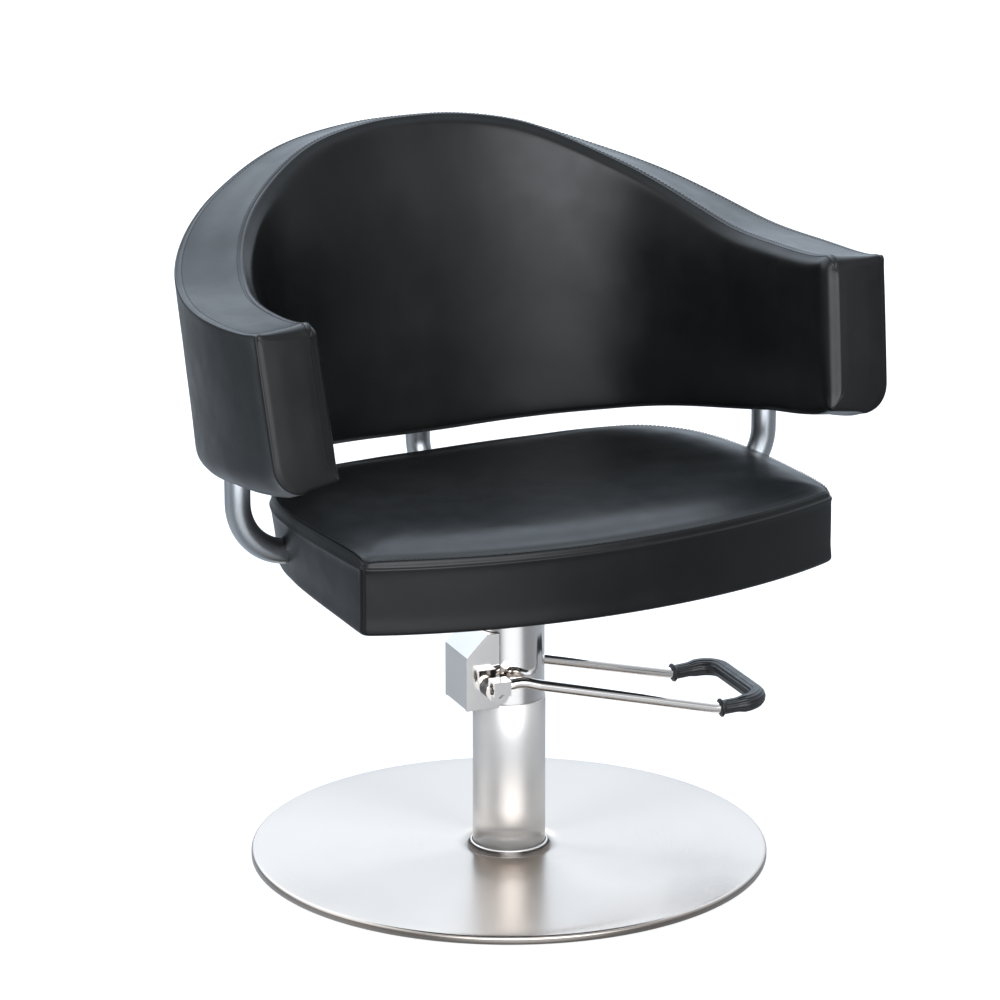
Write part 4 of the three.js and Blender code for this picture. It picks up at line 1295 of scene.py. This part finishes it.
def plywood():
    m = Material("beech_plywood", IOR=1.45)
    lengthwise = m.vector("MULTIPLY", m.place, (1.0, 9.0, 9.0))
    figure = m.noise(scale=14.0, detail=5.0, rough=0.6, place=lengthwise, distortion=1.2)
    fibre = m.noise(scale=160.0, detail=3.0, rough=0.6, place=lengthwise)
    m.colour(
        m.add(m.span(figure, low=0.0, high=0.8), m.span(fibre, low=0.0, high=0.2)),
        dark=(0.42, 0.27, 0.14), middle=(0.56, 0.38, 0.21), light=(0.66, 0.48, 0.29),
        start=0.0, end=1.0,
    )
    m.rough(m.span(fibre, low=0.5, high=0.68))
    m.bump(fibre, distance=0.00015, strength=0.5)
    return m.material


def dust_cloth():
    m = Material("dust_cloth", IOR=1.4, Sheen_Weight=0.3)
    weave = m.cells("SMOOTH_F1", scale=420.0)
    clouds = m.noise(scale=30.0)
    m.colour(
        m.add(
            m.span(weave, low=0, high=0.7, start=0.1, end=0.6),
            m.span(clouds, low=0, high=0.3),
        ),
        dark=(0.009, 0.009, 0.01), light=(0.03, 0.03, 0.032), start=0.0, end=1.0,
    )
    m.rough(m.span(clouds, low=0.8, high=0.95))
    m.bump(weave, distance=0.0004, strength=0.6)
    return m.material


def paint(ob, material):
    ob.data.materials.clear()
    ob.data.materials.append(material)


MATERIALS = {
    "leather": leatherette(),
    "stainless": stainless_turned(),
    "chrome": chrome_bright(),
    "satin": satin(),
    "steel": plain_metal(
        "zinc_steel", dark=(0.36, 0.37, 0.38), light=(0.5, 0.51, 0.52),
        metallic=1.0, rough=(0.34, 0.5),
    ),
    "iron": plain_metal(
        "primed_plate", dark=(0.03, 0.032, 0.034), light=(0.06, 0.062, 0.066),
        metallic=0.3, rough=(0.55, 0.7),
    ),
    "brass": plain_metal(
        "bearing_brass", dark=(0.55, 0.38, 0.14), light=(0.7, 0.52, 0.24),
        metallic=1.0, rough=(0.25, 0.38),
    ),
    "black_plastic": moulded(
        "moulded_black", dark=(0.012, 0.012, 0.013), light=(0.02, 0.02, 0.021),
        rough=(0.4, 0.55), grain_scale=1400.0,
    ),
    "rubber": moulded(
        "grip_rubber", dark=(0.008, 0.008, 0.0085), light=(0.014, 0.014, 0.015),
        rough=(0.34, 0.5), grain_scale=900.0,
    ),
    "wood": plywood(),
    "cloth": dust_cloth(),
}
TURNED_CHROME = chrome_turned()
THREAD = thread()

slots = {part["node"]: part["material_slot"] for part in frame["record"]["subparts"]}
for name, ob in frame["nodes"].items():
    paint(ob, MATERIALS[slots[name]])
for ob in hard_pieces:
    paint(ob, TURNED_CHROME if ob in turned_pieces else MATERIALS[ob["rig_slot"]])
for ob in (back_cover, seat_cover):
    paint(ob, MATERIALS["leather"])
for ob in (back_thread, seat_thread):
    paint(ob, THREAD)


# ------------------------------------------------------------------ camera, in metres
def make_camera():
    target = Vector((-8.92, 4.73, 411.7)) * MM
    toward_camera = Vector((-0.44947, -0.84750, 0.28234)).normalized()
    data = bpy.data.cameras.new("camera")
    camera = bpy.data.objects.new("camera", data)
    scene.collection.objects.link(camera)
    data.sensor_width = 36
    data.lens = 171.9
    data.clip_start, data.clip_end = 0.05, 200
    camera.location = target + toward_camera * 5.270
    camera.rotation_mode = "QUATERNION"
    camera.rotation_quaternion = (-toward_camera).to_track_quat("-Z", "Y")
    scene.camera = camera


# ------------------------------------------------------------------ floor and studio
def make_floor():
    """Pale to the camera, darker and slightly glossy to everything else."""
    bpy.ops.mesh.primitive_plane_add(size=120)
    floor = bpy.context.object
    floor.name = "floor"
    material = bpy.data.materials.new("floor_pale")
    m = Nodes(material)

    def shader(kind, *values, **inputs):
        return m.node(kind, *values, **inputs).outputs[0]

    seen = shader(
        "ShaderNodeAddShader",
        shader("ShaderNodeBsdfDiffuse", Color=(0.42, 0.42, 0.42, 1)),
        shader("ShaderNodeEmission", Strength=0.66),
    )
    unseen = shader(
        "ShaderNodeAddShader",
        shader("ShaderNodeBsdfDiffuse", Color=(0.12, 0.12, 0.12, 1)),
        shader("ShaderNodeBsdfGlossy", Color=(0.22, 0.22, 0.22, 1), Roughness=0.32),
    )
    camera_ray = m.node("ShaderNodeLightPath").outputs["Is Camera Ray"]
    mix = shader("ShaderNodeMixShader", camera_ray, unseen, seen)
    m.node("ShaderNodeOutputMaterial", mix)
    paint(floor, material)


# Lights and flags are soft round patches of the world. Columns, in degrees but for the last:
# azimuth to the camera's right (0 is the camera, 180 behind the chair), elevation, radius of the
# full part, radius where it has faded out, strength
BACKDROP = (180, 8, 25, 108, 1.08)
ROOM = 0.42
LIGHTS = (
    (180, 52, 10, 42, 0.9),  # high bank behind, for the rolls and top bands
    (0, 90, 15, 65, 0.3),  # overhead bank
    (10, 16, 12, 42, 4.9),  # strip box, beside the camera
    (-90, 34, 14, 38, 1.5),  # fill box, left
    (-140, 38, 10, 28, 1.0),  # rim box, left and behind
)
FLAGS = ((122, 0, 6, 20, 0.8), (-124, -6, 14, 42, 0.8))  # black, beside the backdrop
COOL_SIDE = (180, 20, 20, 110, 1.0)  # light from behind is a little cooler
NEAR_TINT, FAR_TINT = (0.945, 0.99, 1.045, 1), (0.86, 0.98, 1.12, 1)
CAMERA_X, CAMERA_Y = -0.4685, -0.8834  # level direction towards the camera


def toward(azimuth, elevation):
    """Unit vector of a direction given as in the light tables."""
    a, e = math.radians(azimuth), math.radians(elevation)
    right_x, right_y = -CAMERA_Y, CAMERA_X
    return (
        (CAMERA_X * math.cos(a) + right_x * math.sin(a)) * math.cos(e),
        (CAMERA_Y * math.cos(a) + right_y * math.sin(a)) * math.cos(e),
        math.sin(e),
    )


def make_world():
    world = bpy.data.worlds.new("studio")
    scene.world = world
    w = Nodes(world)
    direction = w.node("ShaderNodeTexCoord").outputs["Generated"]

    def patch(azimuth, elevation, inner, outer, strength):
        return w.span(
            w.vector("DOT_PRODUCT", direction, toward(azimuth, elevation)),
            low=0.0, high=strength,
            start=math.cos(math.radians(outer)), end=math.cos(math.radians(inner)),
        )

    level = w.add(patch(*BACKDROP), ROOM)
    for light in LIGHTS:
        level = w.add(level, patch(*light))
    for flag in FLAGS:
        level = w.math("MULTIPLY", level, w.math("SUBTRACT", 1.0, patch(*flag)))
    tint = w.node("ShaderNodeMix", props={"data_type": "RGBA"}, Factor=patch(*COOL_SIDE))
    # sockets 6 and 7 are the two colours
    w.put(tint.inputs[6], NEAR_TINT)
    w.put(tint.inputs[7], FAR_TINT)
    lit = w.node("ShaderNodeBackground", Color=tint.outputs[2], Strength=level)
    # the camera itself sees plain white
    white = w.node("ShaderNodeBackground", Color=(1, 1, 1, 1))
    camera_ray = w.node("ShaderNodeLightPath").outputs["Is Camera Ray"]
    mix = w.node("ShaderNodeMixShader", camera_ray, lit.outputs[0], white.outputs[0])
    w.node("ShaderNodeOutputWorld", mix.outputs[0])


make_camera()
make_floor()
make_world()

scene.view_settings.view_transform = "Standard"
scene.view_settings.look = "None"
scene.view_settings.exposure = 0.0
scene.view_settings.gamma = 1.0
